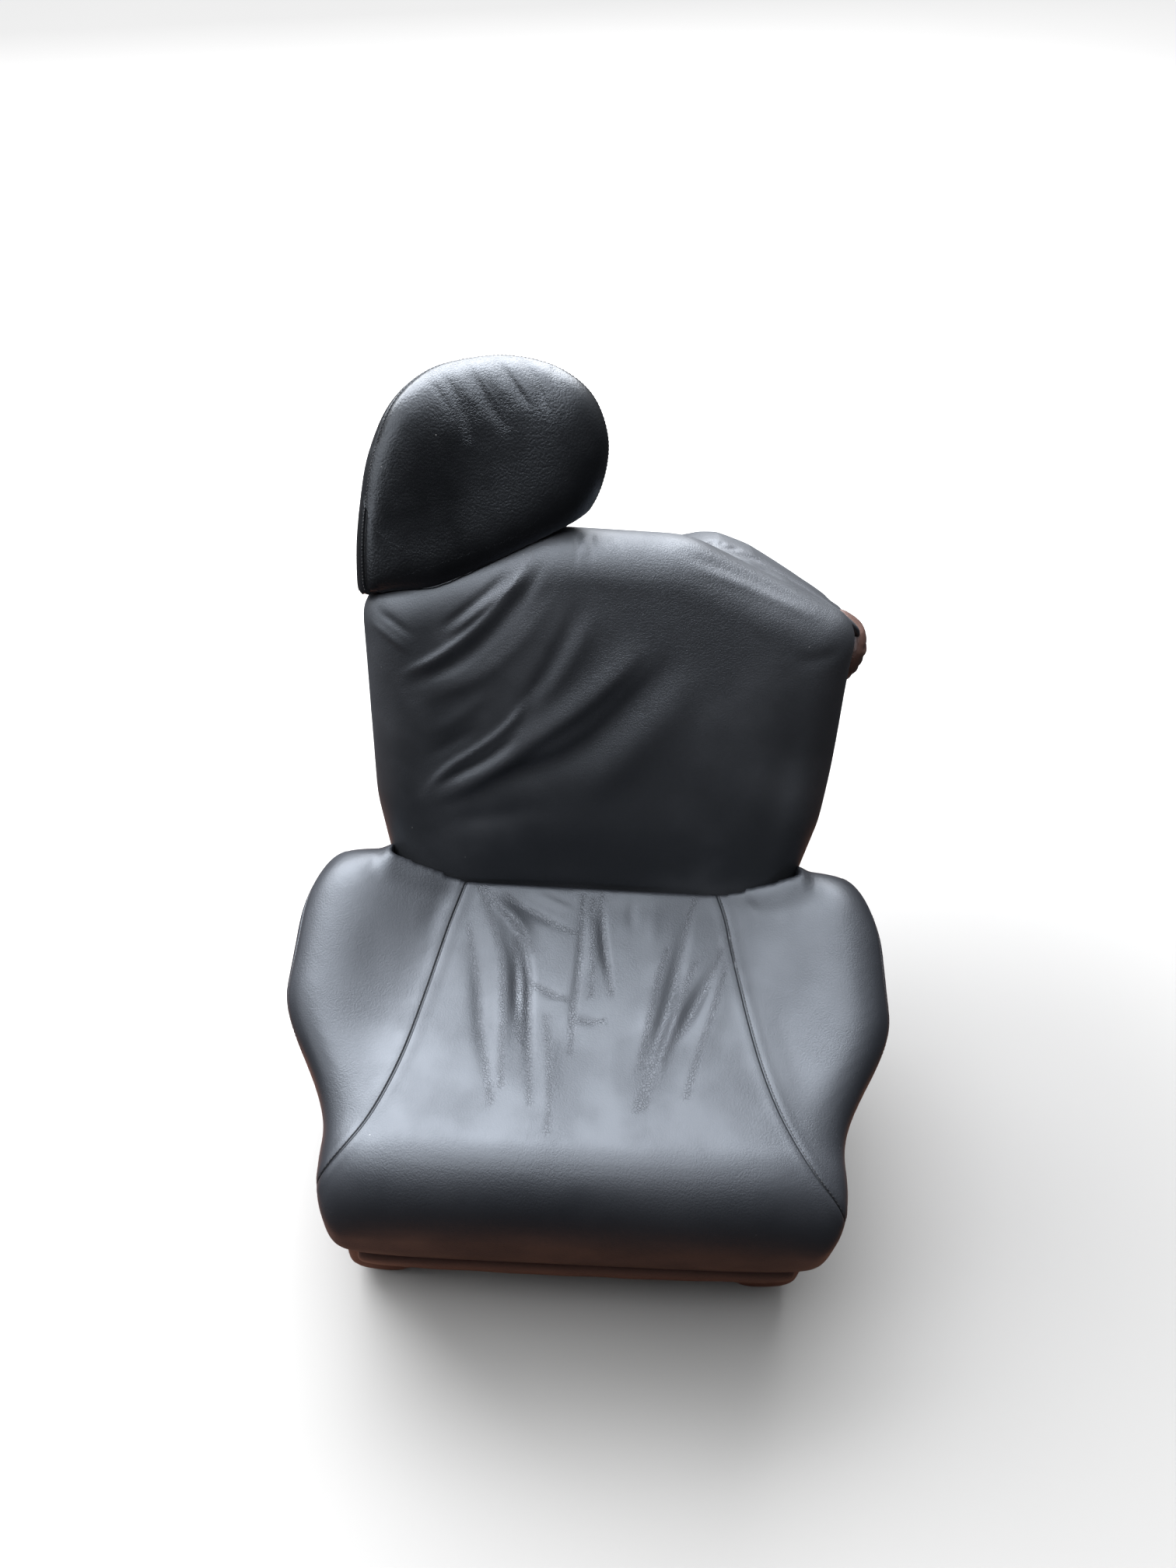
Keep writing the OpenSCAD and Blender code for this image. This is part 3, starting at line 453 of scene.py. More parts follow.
def make_hide_group():
    group = bpy.data.node_groups.new("hide", "ShaderNodeTree")
    for name, kind, default in (("Hide Colour", "NodeSocketColor", (0.02, 0.021, 0.024, 1)),
                                ("Rub And Sheen Colour", "NodeSocketColor", (0.045, 0.046, 0.05, 1)),
                                ("Pebble Size", "NodeSocketFloat", 0.0022),
                                ("Pebble Depth", "NodeSocketFloat", 1.0),
                                ("Gloss", "NodeSocketFloat", 0.42)):
        group.interface.new_socket(name=name, in_out="INPUT", socket_type=kind).default_value = default
    for name, kind in (("Colour", "NodeSocketColor"), ("Roughness", "NodeSocketFloat"),
                       ("Height", "NodeSocketFloat")):
        group.interface.new_socket(name=name, in_out="OUTPUT", socket_type=kind)
    n = Nodes(group)
    given = n.add("NodeGroupInput").outputs
    place = n.place()
    wear_and_sheen = n.stored("wear_and_sheen")
    fine = n.noise(place, 900.0, 3.0)
    patch = n.noise(place, 11.0, 3.0)
    broad = n.noise(place, 3.5, 4.0)

    # Pebbles that come and go in patches, with fine grain on them and cracks where the hide is worn
    drift = n.noise(place, 90.0, 2.0, "Color")
    bent = n.add("ShaderNodeMix", {0: 0.006, 4: place, 5: drift}, data_type="VECTOR").outputs[1]
    pebble = n.cells(bent, n.math("DIVIDE", 1.0, given["Pebble Size"]), "SMOOTH_F1")["Distance"]
    cracks = n.cells(bent, 260.0, "DISTANCE_TO_EDGE")["Distance"]
    cell = n.math("MULTIPLY", n.ramp(pebble, 0.15, 0.75, 1.0, 0.0), n.ramp(patch, 0.35, 0.68, 0.35, 1.0))
    height = n.math("ADD", n.math("MULTIPLY", cell, given["Pebble Depth"]), n.math("MULTIPLY", fine, 0.25))
    crack = n.math("MULTIPLY", n.ramp(cracks, 0.0, 0.16, 1.0, 0.0), wear_and_sheen)
    height = n.math("SUBTRACT", height, n.math("MULTIPLY", crack, 1.6))

    # Broad clouds of the rubbed colour, more of it where wear or a painted sheen is stored, and a few specks
    # of dust
    speck = n.cells(place, 26.0)
    kept = n.add("ShaderNodeSeparateColor", {0: speck["Color"]}).outputs[0]
    dust = n.math("MULTIPLY", n.ramp(speck["Distance"], 0.018, 0.03, 1.0, 0.0),
                  n.math("GREATER_THAN", kept, 0.72))
    rub_and_sheen = n.math("ADD", n.ramp(broad, 0.42, 0.7, 0.0, 0.55), n.math("MULTIPLY", wear_and_sheen, 0.35), clamp=True)
    colour = n.blend(rub_and_sheen, given["Hide Colour"], given["Rub And Sheen Colour"])
    colour = n.blend(n.math("MULTIPLY", dust, 0.5), colour, (0.32, 0.32, 0.33, 1))

    rough = n.math("ADD", given["Gloss"], n.ramp(patch, 0.3, 0.7, -0.04, 0.07))
    rough = n.math("ADD", rough, n.ramp(broad, 0.35, 0.65, -0.03, 0.04))
    rough = n.math("ADD", rough, n.math("MULTIPLY", fine, 0.05))
    n.add("NodeGroupOutput", {"Colour": colour, "Roughness": rough, "Height": height})
    return group


hide_group = make_hide_group()
print("hide group sockets", len(hide_group.interface.items_tree))

# %% Leather material
def new_material(name):
    """A material, its node helper and its shader."""
    made = bpy.data.materials.new(name)
    made.use_nodes = True
    return made, Nodes(made.node_tree), made.node_tree.nodes["Principled BSDF"]


def make_leather(name, colour, rub_and_sheen, pebble, depth, gloss):
    made, n, shader = new_material(name)
    hide = n.add("ShaderNodeGroup", node_tree=hide_group)
    n.feed(hide, {"Hide Colour": (*colour, 1), "Rub And Sheen Colour": (*rub_and_sheen, 1), "Pebble Size": pebble,
                  "Pebble Depth": depth, "Gloss": gloss})
    gap = n.math("ABSOLUTE", n.stored("seam"))
    line = n.ramp(gap, 0.0004, 0.0013, 1.0, 0.0)
    dip = n.math("MULTIPLY", n.ramp(gap, 0.0, 0.0028, 1.0, 0.0), 6.0)
    height = n.math("SUBTRACT", hide.outputs["Height"], dip)
    n.feed(shader, {
        "Base Color": n.blend(line, hide.outputs["Colour"], (0.003, 0.003, 0.003, 1)),
        "Roughness": hide.outputs["Roughness"],
        "Normal": n.bump(height, 0.00016, 1.0),
        "Specular IOR Level": 1.0,
        # Painted reflection colour: the blue tint stands in for bluish skylight, since the lamps are white.
        "Specular Tint": (0.80, 0.88, 1.0, 1),
    })
    return made


leather, leather_back, leather_soft, leather_base = (make_leather(*values) for values in (
    # name, hide colour, rubbed colour (also the painted sheen), pebble size in metres, pebble depth,
    # roughness
    ("black_leather", (0.018, 0.020, 0.025), (0.034, 0.036, 0.043), 0.0022, 0.9, 0.43),
    # Painted sheen: this rubbed colour, far paler than the hide, paints the backrest's sheen and the roll's
    # highlight.
    ("matt_black_leather", (0.020, 0.022, 0.026), (0.096, 0.102, 0.116), 0.0022, 0.9, 0.50),
    # Painted shade: the ears' hide is darkened below the black of the other panels.
    ("soft_black_leather", (0.003, 0.0033, 0.004), (0.009, 0.010, 0.012), 0.0028, 1.4, 0.30),
    # Painted reflection: this brown stands in for a warm floor reflected in black leather.
    ("black_leather_painted_warm_reflection", (0.085, 0.043, 0.032), (0.100, 0.055, 0.042), 0.0024, 1.1, 0.42),
))
print("leathers", 4)

# %% [markdown]
# ## Seat cushion
# The seat is one foam block: a crowned, dished top, a rounded nose that rolls under, and two bolsters
# that rise and swell out towards the rear, where they reach round the foot of the backrest as two
# arms. A ball is stretched to that form, because its poles close the nose and the rear, and its rings
# become the cross sections. Then the hollow for the foot of the backrest and the wells for the two
# knobs are carved, and the skin is made even.

# %% Seat form
def dish_rise(y):
    dish_y = AXIS_Y - SEAT_RUN * 0.47
    rear = REAR_RISE * ((y - dish_y) / (AXIS_Y - dish_y)) ** 2
    fore = FRONT_RISE * ((y - dish_y) / (SEAT_FLAT_Y - dish_y)) ** 2
    return np.where(y > dish_y, rear, fore)


def seat_top(x, y):
    along = ease((y - SEAT_FLAT_Y) / (SEAT_RUN * 0.95))
    inner = mix(SEAT_HALF * 0.78, SEAT_HALF * 0.42, along)
    across = ease((np.abs(x) - inner) / (SEAT_HALF * 0.98 - inner))
    return SEAT_DISH + dish_rise(y) + BOLSTER_H * along ** 0.8 * across


def seat_swell(y, z):
    fore = ease((y - SEAT_FLAT_Y - SEAT_RUN * 0.02) / (SEAT_RUN * 0.52))
    aft = mix(1, 0.80, ease((y - AXIS_Y + SEAT_RUN * 0.25) / (SEAT_RUN * 0.35)))
    up = ease((z - SEAT_MID + SEAT_HALF * 0.2) / (SEAT_HALF * 0.44))
    return BOLSTER_OUT * fore * aft * up


def seat_form(polar, turn):
    q = polar / math.pi
    roll = np.clip(1 - q / 0.26, 0, 1) * math.radians(87)
    arm = np.clip((q - 0.78) / 0.22, 0, 1) * math.pi / 2
    flat = np.clip((q - 0.26) / 0.52, 0, 1)
    y = np.where(q < 0.26, SEAT_FLAT_Y - NOSE * np.sin(roll),
                 np.where(q > 0.78, ARM_START_Y + (ARM_END_Y - ARM_START_Y) * np.sin(arm),
                          mix(SEAT_FLAT_Y, ARM_START_Y, flat)))
    wide = (1 - 0.14 * (1 - np.cos(roll)) ** 1.4) * (1 - 0.06 * (1 - np.cos(arm)))
    up = np.cos(roll) * (1 - 0.62 * (1 - np.cos(arm)) ** 1.35)
    low = rounded(np.sin(roll), 4.5) * (1 - 0.2 * (1 - np.cos(arm)))
    across, lift = square_turn(turn, 5)
    x = across * SEAT_HALF
    z = np.where(lift > 0, SEAT_MID + (seat_top(x, y) - SEAT_MID) * lift * up,
                 SEAT_MID + (SEAT_MID - SEAT_LOW) * lift * low)
    return np.stack([x * wide * (1 + seat_swell(y, z) / SEAT_HALF), y, z], 1)


def block(name, low, high, turn=0.0):
    """A box that may be leant about the backrest's axis, for carving."""
    bm = bmesh.new()
    bmesh.ops.create_cube(bm, size=1.0)
    size = [b - a for a, b in zip(low, high)]
    bmesh.ops.scale(bm, verts=bm.verts, vec=size)
    bmesh.ops.translate(bm, verts=bm.verts, vec=[(a + b) / 2 for a, b in zip(low, high)])
    bmesh.ops.rotate(bm, verts=bm.verts, matrix=Matrix.Rotation(turn, 3, "X"))
    bmesh.ops.translate(bm, verts=bm.verts, vec=(0, AXIS_Y, AXIS_Z))
    return new_piece(name, bm)


seat = stretched_ball("seat_leather", 200, 150, seat_form)
room, hollow, knob_room = 0.307, BACK_R + 0.0025, 0.049
carve(seat, [
    drum("cut_foot", hollow, -room, room, AXIS_Y, AXIS_Z),
    block("cut_back", (-room, -hollow, 0), (room, 0.6, 0.6), -LEAN),
    block("cut_below", (-room, -hollow, -0.6), (room, 0.6, 0)),
    drum("cut_well_left", knob_room, -0.5, -SEAT_HALF, AXIS_Y, AXIS_Z),
    drum("cut_well_right", knob_room, SEAT_HALF, 0.5, AXIS_Y, AXIS_Z),
])
even_skin(seat, SEAT_SQUARE, 5)

# The rear edge climbs against the backrest, and the bolsters close in on its sides
co = points_of(seat)
local = to_back(co)
off_middle = np.abs(co[:, 0])
near_back = ease((local[:, 1] + BACK_R + 0.045) / 0.040) * ease((BACK_R * 0.2 - local[:, 1]) / 0.04)
climb = near_back * ease((local[:, 2] - 0.100) / 0.030) * ease((0.330 - off_middle) / 0.03)
local[:, 2] += (0.011 + 0.003 * ease((off_middle - 0.19) / 0.10)) * climb
close_in = bell(off_middle - 0.314, 0.024) * ease((local[:, 2] - 0.060) / 0.05)
close_in = close_in * ease((local[:, 1] + 0.110) / 0.06)
local[:, 0] -= np.sign(co[:, 0]) * 0.0050 * close_in
local[:, 2] += 0.004 * close_in
move_to(seat, from_back(local))

# %% [markdown]
# The seat's folds fan out from the middle of its rear edge, where sitting has stretched the hide:
# long soft ridges on the left, two short pairs of creases in the middle with a small cross dent each,
# and slanting folds on the right. The bolsters only have shallow dents.

# %% Seat folds
SEAT_FOLDS = in_metres([
    # points of the line, half width and height in millimetres, then lean and fade
    ([(-171, 41), (-155, 7), (-140, -38), (-128, -76), (-123, -135), (-120, -198), (-116, -266)], 15, 4.3,
     0.15, 0.38),
    ([(-161, 39), (-125, 3), (-99, -25), (-85, -54)], 10, 4.3, -0.2, 0.42),
    ([(-150, 20), (-118, -12), (-101, -39), (-88, -100), (-88, -146), (-83, -190), (-77, -288)], 8.1, -3.9,
     0.2, 0.42),
    ([(-181, -20), (-172, -60), (-160, -104), (-152, -169), (-137, -243), (-128, -291)], 12.5, -3.6, -0.2,
     0.42),
    ([(-112, -40), (-108, -80), (-104, -121), (-98, -190)], 6.3, -2.6, 0.2, 0.47),
    ([(-97, -70), (-96, -130), (-90, -200)], 7.5, 1.7, 0, 0.47),
    ([(-17, 36), (-16, -30), (-18, -70), (-21, -116), (-25, -161), (-26, -212)], 5.6, -1.3, 0.2, 0.42),
    ([(11, 40), (13, 10), (15, -22), (20, -54), (25, -87), (28, -119)], 6.3, -2.9, 0.3, 0.42),
    ([(-2, 30), (0, -23), (1, -69), (0, -121)], 8.8, 1.2, 0, 0.47),
    ([(-80, -111), (-58, -121), (-35, -131)], 8.5, -1.1, 0, 0.48),
    ([(-22, -162), (-2, -163), (18, -162)], 8.5, -1.1, 0, 0.48),
    ([(-61, -160), (-53, -238), (-50, -290), (-52, -330)], 13.7, 2, 0, 0.47),
    ([(150, 40), (141, 12), (128, -48), (119, -95), (106, -154), (88, -205), (74, -255), (63, -292)], 9.4,
     -3.6, 0.2, 0.42),
    ([(188, -40), (169, -85), (144, -139), (120, -185), (102, -211)], 8.8, -2.9, 0.2, 0.47),
    ([(110, -40), (95, -89), (80, -168), (68, -231)], 13.7, 2, 0, 0.47),
    ([(150, -60), (136, -93), (111, -173), (94, -217), (73, -291)], 10.6, 2.7, 0, 0.42),
    ([(195, -60), (175, -130), (150, -200), (130, -270)], 17.5, 1.6, 0, 0.47),
    ([(-130, 32), (-114, 20), (-76, -1), (-27, -24)], 7.5, -2, 0.3, 0.47),
    ([(-100, 40), (-60, 24), (-20, 10)], 6.3, 1.2, 0, 0.47),
    ([(-205, 52), (-222, 20), (-236, -20), (-243, -60)], 12.5, -1.7, 0.2, 0.47),
    ([(-320, -20), (-314, -70), (-306, -110), (-296, -160)], 30, -1.8, 0.2, 0.52),
    ([(322, -10), (313, -40), (295, -102), (262, -175)], 30, -1.8, 0, 0.52),
    ([(215, 50), (232, 26), (250, 8)], 7.5, -1.5, 0, 0.52),
    ([(60, 45), (55, 10), (60, -30)], 8.8, -1.1, 0, 0.52),
    ([(95, 42), (90, 5), (85, -50)], 10, 1.1, 0, 0.52),
])
SEAT_SEAMS = [np.array(line) / 1000 for line in (
    [(-183, 75), (-191, 47), (-207, -11), (-219, -67), (-233, -141), (-247, -212), (-264, -271),
     (-285, -323), (-310, -359), (-339, -388), (-370, -410)],
    [(178, 78), (182, 52), (195, 15), (202, -36), (212, -92), (223, -160), (235, -222), (252, -282),
     (274, -333), (295, -369), (318, -390), (350, -414)],
)]


def seat_side_height(y):
    """Height of the seam along the side, from the rear of a bolster down to the nose."""
    return mix(0.372, 0.262, ease((0.02 - y) / 0.42))


def seat_seam(obj):
    co, up = points_of(obj), normals_of(obj)
    fields = []
    for line in SEAT_SEAMS:
        gap, way, _ = beside(co[:, :2], line)
        fields.append(np.where((up[:, 2] < 0.15) | (co[:, 2] < 0.30), FAR, gap * way))
    on_side = (np.abs(up[:, 0]) > 0.35) & (np.abs(co[:, 0]) > 0.31) & (co[:, 1] > -0.385)
    fields.append(np.where(on_side, co[:, 2] - seat_side_height(co[:, 1]), FAR))
    closest = np.argmin(np.abs(fields), axis=0)
    return np.take_along_axis(np.array(fields), closest[None], 0)[0]


def plan(obj):
    return points_of(obj)[:, :2]


def upward(obj):
    return ease((normals_of(obj)[:, 2] - 0.05) / 0.35)


press(seat, plan, SEAT_FOLDS, upward)
sew(seat, seat_seam)
SHARPEST = SEAT_FOLDS[:18]
store(seat, "wear_and_sheen", np.clip(near_folds(plan(seat), SHARPEST, 0.006), 0, 1) * upward(seat))
dress(seat, leather, "seat", "seat_cushion")

# %% [markdown]
# ## Backrest cushion
# A gabled slab with rounded rims, a slightly crowned face and a foot that is half a drum, so that it
# can turn in the hollow of the seat. Its outline runs round the ball's turns, and the ball's other
# angle goes over the face, round the rim and across the rear.

# %% Backrest form
def arc_corner(before, here, after, radius, steps=8):
    a = (here - before) / np.linalg.norm(here - before)
    b = (after - here) / np.linalg.norm(after - here)
    bend = math.atan2(a[0] * b[1] - a[1] * b[0], a @ b)
    lead = radius * math.tan(abs(bend) / 2)
    way = np.sign(bend)
    centre = here - a * lead + np.array([-a[1], a[0]]) * radius * way
    start = here - a * lead - centre
    turns = np.linspace(0, bend, steps)
    return [centre + np.array([start[0] * math.cos(t) - start[1] * math.sin(t),
                               start[0] * math.sin(t) + start[1] * math.cos(t)]) for t in turns]


def back_outline():
    right = [(FOOT_HALF, -BACK_R, 0.036), (WAIST_HALF, WAIST_S, 0.24), (HIP_HALF, HIP_S, 0.24),
             (SHOULDER_HALF, SHOULDER_S, 0.048), (APEX_HALF, APEX_S, 0.144)]
    corners = right + [(-x, s, rad) for x, s, rad in reversed(right)]
    spots = [np.array(c[:2]) for c in corners]
    made = []
    for i, c in enumerate(corners):
        made += arc_corner(spots[i - 1], spots[i], spots[(i + 1) % len(spots)], c[2])
    made = np.array(made + made[:1])
    run = run_of(made)
    return made, run / run[-1]


BACK_SEAM_Y = 0.038
BACK_MID = (APEX_S - BACK_R) / 2
BACK_REACH = BACK_MID + BACK_R
outline, outline_share = back_outline()


def back_form(polar, turn):
    share = (turn / (2 * math.pi)) % 1
    x, s = along_line(outline, outline_share, share).T
    over = np.minimum(polar, math.pi - polar) / (math.pi / 2)
    face = np.clip(over / 0.55, 0, 1)
    rim = np.clip((over - 0.55) / 0.45, 0, 1) * math.pi / 2
    inset = BACK_R * (1 - np.sin(rim))
    qx = x * (1 - inset / FOOT_HALF) * face
    qs = BACK_MID + (s - BACK_MID) * (1 - inset / BACK_REACH) * face
    depth = BACK_R * np.cos(rim)
    puff = 0.011 * (1 - face ** 2) * ease((qs - 0.12) / 0.12)
    y = np.where(polar < math.pi / 2, -depth - puff, depth + puff * 0.3)
    return from_back(np.stack([qx, y, qs], 1))


back = stretched_ball("back_leather", 260, 120, back_form)
even_skin(back, BACK_SQUARE, 5)
local = to_back(points_of(back))
local[:, 0] -= 0.007 * ease((local[:, 2] - 0.30) / 0.20) * ease((local[:, 0] - 0.10) / 0.20)
move_to(back, from_back(local))

# %% [markdown]
# The backrest's folds run from the lower left to the upper right, towards the folded ear that pulls
# the hide: two narrow ones under the raised ear, two long broad ones across the middle, and a few
# short tucks at the flat top. A shallow trough marks the left rim, and the corners pull small creases.

# %% Backrest folds
BACK_FOLDS = in_metres([
    ([(-290, 440), (-274, 455), (-245, 472), (-212, 497), (-180, 527), (-148, 565), (-126, 596),
     (-114, 622)], 8, 4.6, 0.3, 0.25),
    ([(-227, 504), (-185, 541), (-153, 570), (-131, 588), (-116, 615)], 6, 3, 0, 0.3),
    ([(-236, 512), (-196, 548), (-160, 580), (-138, 604)], 6, -2.6, 0, 0.3),
    ([(-280, 425), (-236, 452), (-198, 475), (-161, 513), (-134, 549), (-104, 599), (-95, 640)], 10, -4.8,
     -0.2, 0.25),
    ([(-272, 408), (-230, 430), (-180, 455), (-140, 490), (-105, 540), (-80, 590)], 14, 3.4, 0, 0.3),
    ([(-262, 246), (-252, 253), (-216, 273), (-176, 299), (-137, 329), (-104, 365), (-71, 391), (-34, 423),
     (2, 462), (33, 500), (59, 527)], 18, 8.5, -0.25, 0.25),
    ([(-190, 270), (-147, 300), (-78, 327), (-30, 358), (-2, 388), (38, 438), (68, 477), (92, 519)], 20,
     -8.5, 0.2, 0.3),
    ([(-258, 266), (-251, 271), (-221, 313), (-182, 343), (-148, 373), (-125, 401), (-104, 440)], 7, 4, 0.2,
     0.25),
    ([(-235, 278), (-205, 303), (-170, 325), (-142, 350), (-118, 380)], 6.5, -4.2, 0, 0.3),
    ([(-60, 260), (-26, 291), (12, 328), (48, 374), (79, 409), (102, 469), (127, 506)], 30, 5.5, 0, 0.3),
    ([(-129, 390), (-102, 440), (-80, 483), (-59, 534), (-45, 580)], 12, -4.2, 0.2, 0.35),
    ([(-110, 397), (-83, 441), (-56, 484), (-36, 536), (-19, 566)], 13, 3.6, 0, 0.35),
    ([(-262, 350), (-225, 375), (-185, 410), (-150, 450)], 11, 2.2, 0, 0.4),
    ([(-256, 320), (-215, 350), (-170, 385)], 9, -2.2, 0, 0.4),
    ([(-250, 215), (-190, 228), (-130, 245), (-60, 262)], 16, -2.6, 0, 0.4),
    ([(-61, 668), (-54, 640), (-56, 605)], 4.5, -1.3, 0.2, 0.45),
    ([(-39, 668), (-35, 640), (-35, 612)], 4.2, -1.2, 0.2, 0.45),
    ([(-17, 668), (-14, 630)], 4.5, -1, 0, 0.45),
    ([(0, 668), (3, 630)], 4.5, -0.8, 0, 0.45),
    ([(-47, 668), (-45, 620)], 5, 0.8, 0, 0.45),
    ([(286, 560), (200, 594), (130, 620), (60, 640)], 6, -1.8, 0, 0.3),
    ([(290, 548), (210, 580), (140, 606), (80, 622)], 6, 1.4, 0, 0.3),
    ([(-325, 535), (-290, 520), (-262, 500)], 6, -2.4, 0, 0.4),
    ([(-330, 518), (-295, 500), (-270, 478)], 6, 1.8, 0, 0.4),
    ([(318, 520), (280, 505), (240, 500)], 10, -1.6, 0, 0.4),
    ([(-268, 100), (-180, 112), (-60, 120), (80, 116), (220, 108)], 12, -2.2, 0, 0.3),
    ([(240, 160), (255, 300), (262, 440)], 22, -2, 0, 0.4),
])


def back_face(obj):
    return to_back(points_of(obj))[:, [0, 2]]


def forward(obj):
    return ease((-turned(normals_of(obj), LEAN)[:, 1] - 0.1) / 0.4)


def back_seam(obj):
    local = to_back(points_of(obj))
    return np.where(local[:, 2] < 0.0, FAR, local[:, 1] - BACK_SEAM_Y)


press(back, back_face, BACK_FOLDS, forward)
sew(back, back_seam)
panel = back_face(back)
# Painted sheen: a broad pale patch high on the backrest's face, a little to the right, stored with the
# crease wear and drawn in the rubbed colour.
painted_sheen = bell(np.hypot(panel[:, 0] - 0.10, (panel[:, 1] - 0.52) * 0.9), 0.24)
creased = near_folds(panel, BACK_FOLDS[:5] + BACK_FOLDS[7:9], 0.008)
store(back, "wear_and_sheen", np.clip(0.9 * painted_sheen + 0.35 * creased, 0, 1) * forward(back))
dress(back, leather_back, "back", "back_cushion")

# %% [markdown]
# ## Ears
# Each ear is a plump lobe. Seen from the front it leans outwards from its hinge line, high and full
# over the middle of the chair and cut short at its outer end. It straddles the rounded top edge of
# the backrest when it is raised, so a drum is carved from its foot.

# %% Ear form
EAR_OUTLINE = [
    (0.000, 0.030), (0.052, 0.270), (0.128, 0.505), (0.220, 0.730), (0.350, 0.925), (0.500, 1.010),
    (0.650, 0.998), (0.790, 0.938), (0.918, 0.815), (0.998, 0.640), (1.008, 0.430), (0.965, 0.256),
    (0.885, 0.110), (0.775, 0.020), (0.620, 0.000), (0.400, 0.000), (0.160, 0.000), (0.040, -0.010),
]


def ear_outline(share):
    """Point of the outline at each share of the way round, on a smooth curve through its points."""
    spots = np.array(EAR_OUTLINE)
    n = len(spots)
    place = (share % 1) * n
    i = np.floor(place).astype(int) % n
    t = (place - np.floor(place))[:, None]
    p0, p1, p2, p3 = spots[i - 1], spots[i], spots[(i + 1) % n], spots[(i + 2) % n]
    at = 0.5 * (2 * p1 + (p2 - p0) * t + (2 * p0 - 5 * p1 + 4 * p2 - p3) * t ** 2
                + (3 * p1 - p0 - 3 * p2 + p3) * t ** 3)
    return at * [EAR_LEN, EAR_H] + [-EAR_OVER, EAR_FOOT_Z]


EAR_MID = np.array([EAR_LEN * 0.52 - EAR_OVER, EAR_H * 0.48 + EAR_FOOT_Z])


def ear_form(polar, turn):
    share = np.sin(polar) ** 0.9
    edge = ear_outline(-turn / (2 * math.pi))
    flat = EAR_MID + (edge - EAR_MID) * share[:, None]
    puff = np.sqrt(np.maximum(0, 1 - share ** 5))
    y = EAR_MID_Y + np.where(polar < math.pi / 2, -1, 1) * EAR_T / 2 * puff
    return np.stack([flat[:, 0], y, flat[:, 1]], 1)


SADDLE_AT, SADDLE_R = np.array([-HINGE_BACK, HINGE_DROP - BACK_R]), BACK_R + 0.0015


def make_ear(side):
    ear = stretched_ball(side + "_ear_leather", 160, 100,
                         lambda polar, turn: from_ear(ear_form(polar, turn), side))
    saddle = drum("cut_saddle", SADDLE_R, -0.1, 0.5, *SADDLE_AT, 96)
    move_to(saddle, from_ear(turned(points_of(saddle), EAR_TILT["left"]), side))
    face_out(saddle)
    carve(ear, [saddle])
    even_skin(ear, EAR_SQUARE, 5)
    return ear


def droop(ear, side):
    """Lets the ear's front lip sag over the top edge, and keeps it off the saddle."""
    local = to_ear(points_of(ear), side)
    lip = ease((local[:, 0] - 0.015) / 0.10) * ease((0.30 - local[:, 0]) / 0.20)
    lip = lip * ease((-0.070 - local[:, 1]) / 0.030) * ease((0.105 - local[:, 2]) / 0.085)
    local[:, 2] -= 0.021 * lip
    local[:, 1] -= 0.008 * lip
    up = turned(local, -EAR_TILT["left"])
    off = up[:, 1:] - SADDLE_AT
    reach = np.linalg.norm(off, axis=1)
    low = reach < SADDLE_R
    off[low] *= (SADDLE_R / reach[low])[:, None]
    up[:, 1:] = off + SADDLE_AT
    move_to(ear, from_ear(turned(up, EAR_TILT["left"]), side))


EAR_FOLDS = in_metres([
    ([(200, 258), (217, 233), (219, 205), (214, 165)], 6, -1.4, 0.3, 0.4),
    ([(236, 256), (248, 228), (253, 200), (263, 160)], 7, -1.9, 0.3, 0.4),
    ([(272, 252), (284, 230), (293, 205), (303, 170)], 5.5, -1.9, 0.4, 0.35),
    ([(300, 245), (312, 226), (319, 200), (320, 160)], 5.5, -1.8, 0.4, 0.35),
    ([(190, 250), (200, 225), (203, 200)], 5, -0.9, 0, 0.4),
    ([(226, 256), (232, 225), (236, 190)], 7, 1.1, 0, 0.4),
    ([(258, 252), (270, 222), (280, 185)], 7, 1.1, 0, 0.4),
    ([(330, 238), (340, 214), (344, 190)], 6, -0.9, 0, 0.4),
])


def ear_ring_y(along):
    """The rim seam is near the front at the outer end and runs back to the middle."""
    return EAR_MID_Y - mix(0.031, 0.0, ease((along - 0.06) / 0.20))


def ear_face(obj, side):
    return to_ear(points_of(obj), side)[:, [0, 2]]


def ear_facing(obj, side):
    local, step = to_ear(points_of(obj), side), 0.001
    lift = to_ear(points_of(obj) + normals_of(obj) * step, side) - local
    return ease((-lift[:, 1] / step - 0.1) / 0.4)


def ear_seam(obj, side):
    local = to_ear(points_of(obj), side)
    middle = np.linalg.norm((local[:, [0, 2]] - EAR_MID) / [EAR_LEN * 0.36, EAR_H * 0.38], axis=1)
    under = (local[:, 2] < 0.03) & (local[:, 0] > 0.03)
    return np.where((middle < 1) | under, FAR, local[:, 1] - ear_ring_y(local[:, 0]))


ears = {}
for side in ("left", "right"):
    ear = make_ear(side)
    droop(ear, side)
    press(ear, lambda obj, side=side: ear_face(obj, side), EAR_FOLDS,
          lambda obj, side=side: ear_facing(obj, side))
    sew(ear, lambda obj, side=side: ear_seam(obj, side), 0.0012, 0.0006, 0.010)
    creased = np.clip(near_folds(ear_face(ear, side), EAR_FOLDS, 0.010), 0, 1)
    store(ear, "wear_and_sheen", creased * ear_facing(ear, side) * 0.7)
    dress(ear, leather_soft, side + "_ear", side + "_ear_cushion")
    ears[side] = ear

# %% [markdown]
# ## Footrest cushion
# The base is a padded block, folded under the seat, that stands on four soft feet with an arch
# between them on every side. It takes the same way as the seat: a ball stretched over cross sections.

